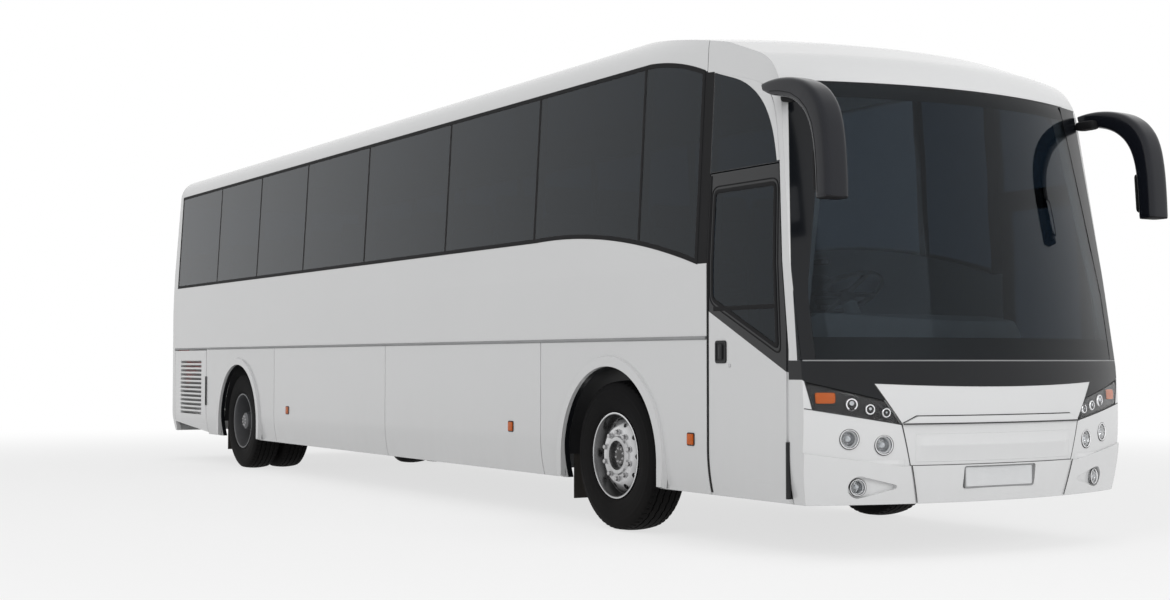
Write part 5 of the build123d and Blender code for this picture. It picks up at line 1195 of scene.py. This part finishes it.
# dark joints between the front panels, drawn as thin strips on the nose: ends of each run as (y, z), its
# lift and its share of the width. A ridge is its ends across, its foot, head and crest levels and its
# height
seamLook = {
    "width": 0.0052, "sagTop": 1.0, "sagHalf": 0.852, "sagDrop": 0.020, "crestPower": 1.6,
    "ridgeFade": 0.07, "ridgeLift": 0.0002, "ridgeDepth": 0.003,
    "ridges": ((-0.606, 0.606, 0.555, 0.715, 0.650, 0.015), (0.668, 1.205, 0.474, 0.572, 0.548, 0.010),
               (-1.205, -0.668, 0.474, 0.572, 0.548, 0.010)),
    "runs": (
        (((-0.694, 0.772), (0.694, 0.772)), 0.0162, 1.5),
        (((-0.604, 0.8172), (0.604, 0.8172)), 0.0005, 1.0),
        (((0.604, 0.8172), (0.690, 0.7765)), 0.0005, 1.0),
        (((0.694, 0.772), (0.634, 0.538)), 0.0005, 1.0),
        (((0.634, 0.538), (0.579, 0.325)), 0.0165, 1.0),
        (((-0.633, 0.5365), (0.633, 0.5365)), 0.0008, 0.8),
        (((0.855, 1.000), (0.694, 0.772)), 0.0005, 1.0),
        (((0.698, 0.770), (1.202, 0.855)), 0.0005, 1.2),
        (((1.202, 0.855), (1.238, 1.012)), 0.0005, 1.0),
        (((1.203, 0.855), (1.246, 0.862)), 0.0005, 1.0),
    ),
}


# ridge across the bumper: its height is the share of the way from the foot or the head to the crest, raised
# to a power, so that it starts flat and ends in an edge; it fades at both ends
def ridgeShape(fromY, toY, footZ, headZ, crestZ, proud):
    y = np.linspace(fromY, toY, 60)[:, None]
    z = np.concatenate([np.linspace(footZ, crestZ, 15), np.linspace(crestZ, headZ, 11)[1:]])[None, :]
    share = np.where(z < crestZ, (z - footZ) / (crestZ - footZ), (headZ - z) / (headZ - crestZ))
    fade = np.clip(np.minimum(y - fromY, toY - y) / seamLook["ridgeFade"], 0, 1)
    swell = proud * np.clip(share, 0, 1) ** seamLook["crestPower"] * (0.5 - 0.5 * np.cos(np.pi * fade))
    places = np.stack([y + 0 * z, z + 0 * y], -1)
    top = onNose(places, swell + seamLook["ridgeLift"])
    under = onNose(places[:, ::-1], np.full(places.shape[:2], -seamLook["ridgeDepth"]))
    loop = np.concatenate([top, under], 1)
    faces = [list(f) for f in gridFaces(*loop.shape[:2], wrapCols=True)]
    count = loop.shape[1]
    faces += [list(range(count)), [(len(loop) - 1) * count + k for k in range(count)][::-1]]
    return loop.reshape(-1, 3), faces


def makeSeams():
    s = seamLook
    shapes = []
    for (first, last), lift, wide in s["runs"]:
        for side in ((1.0,) if first[0] == -last[0] else (1.0, -1.0)):
            t = np.linspace(0, 1, 40)[:, None]
            flat = (1 - t) * np.array(first) + t * np.array(last)
            flat[:, 0] *= side
            path = onNose(flat, np.full(40, lift))
            outward = noseOutward(path)
            along = np.gradient(path, axis=0)
            across = np.cross(outward, along / np.linalg.norm(along, axis=1, keepdims=True))
            shapes.append(stripShape(path, across, outward, s["width"] * wide, 0.0008, 0.002, 3))
    addPiece("front_panel_joints", *joinShapes(shapes), jointDark, "coach", "black_trim", smooth=50)
    # the apron's lower edge sags over the flap: a black patch whose foot is a shallow parabola
    sag = bandPlaces(-1, 1, 0, 1, 3, 60)
    across, level = sag[..., 0] * s["sagHalf"], sag[..., 1]
    foot = s["sagTop"] - s["sagDrop"] * (1 - (across / s["sagHalf"]) ** 2)
    places = np.stack([across, foot + level * (s["sagTop"] + 0.002 - foot)], -1)
    addPiece("front_apron_edge", *patchShape(places, 0.0012, 0.002, onNose), frontGloss, "coach",
             "front_black", smooth=40)
    addPiece("bumper_ridges", *joinShapes([ridgeShape(*row) for row in s["ridges"]]), bodyPaint, "coach",
             "body_white", smooth=60)


makeSeams()

# blank number plates, each in a raised frame: middle and half sizes
plateLook = {
    "front": (0.0, 0.462, 0.262, 0.056), "frontX": 6.097, "rear": (0.0, 0.46, 0.26, 0.056),
    "rearLift": 0.001, "rim": 0.009,
    "rings": ((0, 0.003), (0.93, 0.003), (0.95, 0.0042), (0.985, 0.0042), (1, 0.002), (1, -0.001),
              (0, -0.001)),
}


def plateParts(place, spec, lift):
    s = plateLook
    square = boxCorners(*spec)
    raised = lambda ab, h: place(ab, h + lift)
    sheet = plaqueShape(roundedOutline(square, 0.010, 6, 16), raised, s["rings"])
    rim = frameShape(insetCorners(square, -s["rim"]), s["rim"], 0.016, raised, 0.008, 0.004, 16)
    return sheet, rim


def makePlates():
    s = plateLook
    flatNose = lambda ab, lift: np.stack([s["frontX"] + lift + 0 * ab[..., 0], ab[..., 0], ab[..., 1]], -1)
    front = plateParts(flatNose, s["front"], 0.0)
    rear = plateParts(onTail, s["rear"], s["rearLift"])
    addPiece("plate_sheets", *joinShapes([front[0], rear[0]]), plateWhite, "coach", "body_white", smooth=40)
    addPiece("plate_frames", *joinShapes([front[1], rear[1]]), sealGrey, "coach", "black_trim", smooth=40)


makePlates()

# mirrors: horn-shaped ears, their joints, glasses, foot caps and the brackets under the roots
mirrorLook = {
    "y": 1.268, "rootHalf": 0.066, "headHalf": 0.0815, "widenOver": 0.45, "widenPower": 0.7, "square": 0.42,
    "front": ((5.600, 2.716), (5.68, 2.728), (5.80, 2.727), (5.93, 2.703), (6.03, 2.658), (6.105, 2.592),
              (6.160, 2.500), (6.190, 2.37), (6.206, 2.20), (6.212, 2.024)),
    "rear": ((5.612, 2.668), (5.68, 2.634), (5.77, 2.619), (5.868, 2.592), (5.945, 2.548), (6.008, 2.487),
             (6.052, 2.402), (6.078, 2.29), (6.090, 2.16), (6.096, 2.024)),
    "glassX": 6.086, "glassHalf": 0.062, "glassLow": 2.06, "glassHigh": 2.285, "glassLean": 0.062,
    "jointAt": 0.26, "jointOut": 0.985, "jointRadius": 0.0026,
    "caps": (((6.154, 1.268, 2.018), (0.056, 0.076, 0.009), 0.3, 9),
             ((5.70, 1.186, 2.640), (0.080, 0.040, 0.030), 0.5, 11)),
}


# half width of the ear at shares of its run from the root
def earHalf(t):
    s = mirrorLook
    share = np.clip(t / s["widenOver"], 0, 1) ** s["widenPower"]
    return s["rootHalf"] + (s["headHalf"] - s["rootHalf"]) * share


# ear: a squared-up ellipse carried along the run between two profiles of the side view; its depth is the
# distance between the profiles and its half width grows from the root to the head
def earShape(side, rows=72, cols=44):
    s = mirrorLook
    front, rear = easedLine(s["front"], rows, 4), easedLine(s["rear"], rows, 4)
    half = earHalf(np.linspace(0, 1, rows))
    turn = np.linspace(0, 2 * np.pi, cols, endpoint=False)
    bend = lambda v: np.sign(v) * np.abs(v) ** s["square"]
    across, deep = bend(np.cos(turn)), bend(np.sin(turn))
    middle, reach = (front + rear) / 2, (front - rear) / 2
    flat = middle[:, None] + reach[:, None] * deep[None, :, None]
    y = side * s["y"] + half[:, None] * across[None, :]
    loops = np.stack([flat[..., 0], y, flat[..., 1]], -1)
    cores = loops.mean(1, keepdims=True)
    root = [cores[0] + k * (loops[0] - cores[0]) for k in (0.0, 0.7)]
    foot = [cores[-1] + k * (loops[-1] - cores[-1]) - np.array([0, 0, 0.008]) for k in (0.93, 0.0)]
    loops = np.concatenate([np.stack(root), loops, np.stack(foot)])
    return loops.reshape(-1, 3), gridFaces(len(loops), cols, wrapCols=True)


# joint of the ear's shell: a thin bar along its outer face, near the rear profile
def earJoint(side):
    s = mirrorLook
    t = np.linspace(0.12, 0.985, 60)
    front, rear = evenLine(s["front"], t), evenLine(s["rear"], t)
    flat = rear + s["jointAt"] * (front - rear)
    path = np.stack([flat[:, 0], side * (s["y"] + earHalf(t) * s["jointOut"]), flat[:, 1]], 1)
    return barShape(path, s["jointRadius"], 8)


def makeMirrors():
    s = mirrorLook
    ears = addPiece("mirror_ears", *joinShapes([earShape(side) for word, side in sides]), mirrorBlack,
                    "coach", "front_black", smooth=50)
    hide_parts("mirrors")
    addPiece("mirror_joints", *joinShapes([earJoint(side) for word, side in sides]), rubberBlack, "coach",
             "black_trim", smooth=60)
    glasses, rims, trims = [], [], []
    for word, side in sides:
        y, half = side * s["y"], s["glassHalf"]
        glassX = lambda z: s["glassX"] - s["glassLean"] * (z - s["glassLow"])
        place = lambda ab, lift: np.stack([glassX(ab[..., 1]) - lift, ab[..., 0], ab[..., 1]], -1)
        square = [(y - half, s["glassLow"]), (y + half, s["glassLow"]), (y + half, s["glassHigh"]),
                  (y - half, s["glassHigh"])]
        glasses.append(plaqueShape(roundedOutline(square, 0.02), place, domedRings(0.004, 0.010, 0.002)))
        rims.append(frameShape(insetCorners(square, -0.008), 0.008, 0.026, place, 0.008, 0.010))
        for (x, out, z), size, power, rows in s["caps"]:
            trims.append(cushionShape((x, side * out, z), size, power, rows, 28))
    addPiece("mirror_glasses", *joinShapes(glasses), mirrorSilver, "coach", "screen_glass", smooth=40)
    addPiece("mirror_rims", *joinShapes(rims), rubberBlack, "coach", "black_trim", smooth=40)
    addPiece("mirror_caps", *joinShapes(trims), rubberBlack, "coach", "black_trim", smooth=50)


makeMirrors()

# corner panels of the front cap that round the quarter panes off: the pane's edge as seen, and the edge of
# its opening
cornerLook = {"pane": ((4.96, 2.880), (5.06, 2.850), (5.15, 2.824), (5.229, 2.795), (5.329, 2.741),
                       (5.42, 2.666), (5.481, 2.589), (5.533, 2.493), (5.566, 2.400), (5.594, 2.281)),
              "hole": ((4.96, 2.886), (5.06, 2.859), (5.15, 2.836), (5.239, 2.812), (5.345, 2.786),
                       (5.452, 2.744), (5.528, 2.660), (5.566, 2.560), (5.592, 2.440), (5.616, 2.281))}


def makePaneCorners():
    pane, hole = easedLine(cornerLook["pane"], 60, 5), easedLine(cornerLook["hole"], 60, 5)
    k = np.linspace(0, 1, 5)[:, None, None]
    places = (1 - k) * pane[None] + k * hole[None]
    panels = joinShapes([patchShape(places, 0.0018, 0.004, onSide(side)) for word, side in sides])
    addPiece("pane_corners", *panels, bodyPaint, "coach", "body_white", smooth=40)


makePaneCorners()

# tail lamps: round segments in each upright lamp
tailLook = {"y": 1.11, "levels": ((0.885, "red"), (1.015, "amber"), (1.145, "clear"), (1.275, "red")),
            "radius": 0.047}


def makeTailLamps():
    s = tailLook
    shapes = {"red": [], "amber": [], "clear": []}
    rims = []
    for word, side in sides:
        for z, colour in s["levels"]:
            place = np.array([float(tailX(z)), side * s["y"], z])
            shapes[colour].append(turnedShape(domeProfile(s["radius"] * 0.88, 0.001, 0.010), place,
                                              (-1, 0, 0), 36))
            rims.append(turnedShape(ringProfile(s["radius"] * 0.86, s["radius"] * 1.05, -0.003, 0.007),
                                    place, (-1, 0, 0), 36))
    for colour, look in (("red", redLens), ("amber", amberLens), ("clear", clearLens)):
        addPiece("tail_lamp_" + colour, *joinShapes(shapes[colour]), look, "coach", "lamp_red", smooth=60)
    addPiece("tail_lamp_rims", *joinShapes(rims), trimBlack, "coach", "black_trim", smooth=45)


makeTailLamps()
print("coach: tail trim made")

# stage, light and camera
stageLook = {
    "floorSize": 160.0, "floorColour": (0.92, 0.92, 0.92), "nearWhite": 0.70, "worldLevel": 0.50,
    "whiteFrom": 6.0, "whiteTo": 15.0,
    "lights": (("key_light", (9.0, -12.0, 11.0), (0.5, 0.0, 1.2), 480.0, 8.0),
               ("front_light", (16.0, 1.5, 5.0), (6.0, 0.0, 1.0), 420.0, 6.0)),
}


# 1 for rays from the camera, straight or by way of a mirror or glass
def seenDirectly(tree):
    path = tree.nodes.new("ShaderNodeLightPath")
    through = mathNode(tree, "MAXIMUM", path.outputs["Is Glossy Ray"], path.outputs["Is Transmission Ray"])
    return mathNode(tree, "MAXIMUM", path.outputs["Is Camera Ray"], through)


def makeStage():
    size = stageLook["floorSize"]
    mesh = bpy.data.meshes.new("studio_floor")
    mesh.from_pydata([(-size, -size, 0), (size, -size, 0), (size, size, 0), (-size, size, 0)], [],
                     [(0, 1, 2, 3)])
    floor = bpy.data.objects.new("studio_floor", mesh)
    bpy.context.scene.collection.objects.link(floor)
    material, tree, shader = newMaterial("studio floor", Base_Color=stageLook["floorColour"], Roughness=1.0,
                                         Specular_IOR_Level=0.0)
    # the floor fades to the plain white of the background with its distance from the coach
    coords = addNode(tree, "ShaderNodeTexCoord")
    away = addNode(tree, "ShaderNodeVectorMath", {0: coords.outputs["Object"]}, operation="LENGTH")
    far = addNode(tree, "ShaderNodeMapRange", {"Value": away.outputs["Value"]},
                  interpolation_type="SMOOTHSTEP")
    far.inputs["To Min"].default_value = stageLook["nearWhite"]
    far.inputs["From Min"].default_value = stageLook["whiteFrom"]
    far.inputs["From Max"].default_value = stageLook["whiteTo"]
    seen = seenDirectly(tree)
    white = addNode(tree, "ShaderNodeEmission", in_Color=(1, 1, 1, 1), in_Strength=1.0)
    mix = addNode(tree, "ShaderNodeMixShader", {0: mathNode(tree, "MULTIPLY", far.outputs[0], seen),
                                                1: shader.outputs[0], 2: white.outputs[0]})
    tree.links.new(mix.outputs[0], tree.nodes["Material Output"].inputs["Surface"])
    mesh.materials.append(material)


def makeWorld():
    world = bpy.data.worlds.new("studio white")
    world.use_nodes = True
    tree = world.node_tree
    tree.nodes.clear()
    seen = seenDirectly(tree)
    plain = addNode(tree, "ShaderNodeBackground", in_Color=(1, 1, 1, 1),
                    in_Strength=stageLook["worldLevel"])
    white = addNode(tree, "ShaderNodeBackground", in_Color=(1, 1, 1, 1), in_Strength=1.0)
    mix = addNode(tree, "ShaderNodeMixShader", {0: seen, 1: plain.outputs[0], 2: white.outputs[0]})
    out = tree.nodes.new("ShaderNodeOutputWorld")
    tree.links.new(mix.outputs[0], out.inputs[0])
    bpy.context.scene.world = world


def makeKey(name, place, target, power, size):
    data = bpy.data.lights.new(name, "AREA")
    data.energy = power
    data.size = size
    key = bpy.data.objects.new(name, data)
    bpy.context.scene.collection.objects.link(key)
    key.location = place
    aim = np.asarray(target, float) - np.asarray(place, float)
    key.rotation_euler = Vector(aim).to_track_quat("-Z", "Y").to_euler()
    key.visible_glossy = False


cameraLook = {"place": (13.235, -6.981, 1.124), "forward": (-0.8619, 0.5057, 0.0371), "lens": 51.07,
              "sensor": 36.0, "far": 300.0}


def makeCamera():
    data = bpy.data.cameras.new("photo_camera")
    data.lens = cameraLook["lens"]
    data.sensor_width = cameraLook["sensor"]
    data.clip_end = cameraLook["far"]
    camera = bpy.data.objects.new("photo_camera", data)
    bpy.context.scene.collection.objects.link(camera)
    camera.location = cameraLook["place"]
    camera.rotation_euler = Vector(cameraLook["forward"]).to_track_quat("-Z", "Y").to_euler()
    bpy.context.scene.camera = camera


makeStage()
makeWorld()
for light in stageLook["lights"]:
    makeKey(*light)
makeCamera()
bpy.context.scene.view_settings.view_transform = "Standard"
print("coach: stage set")
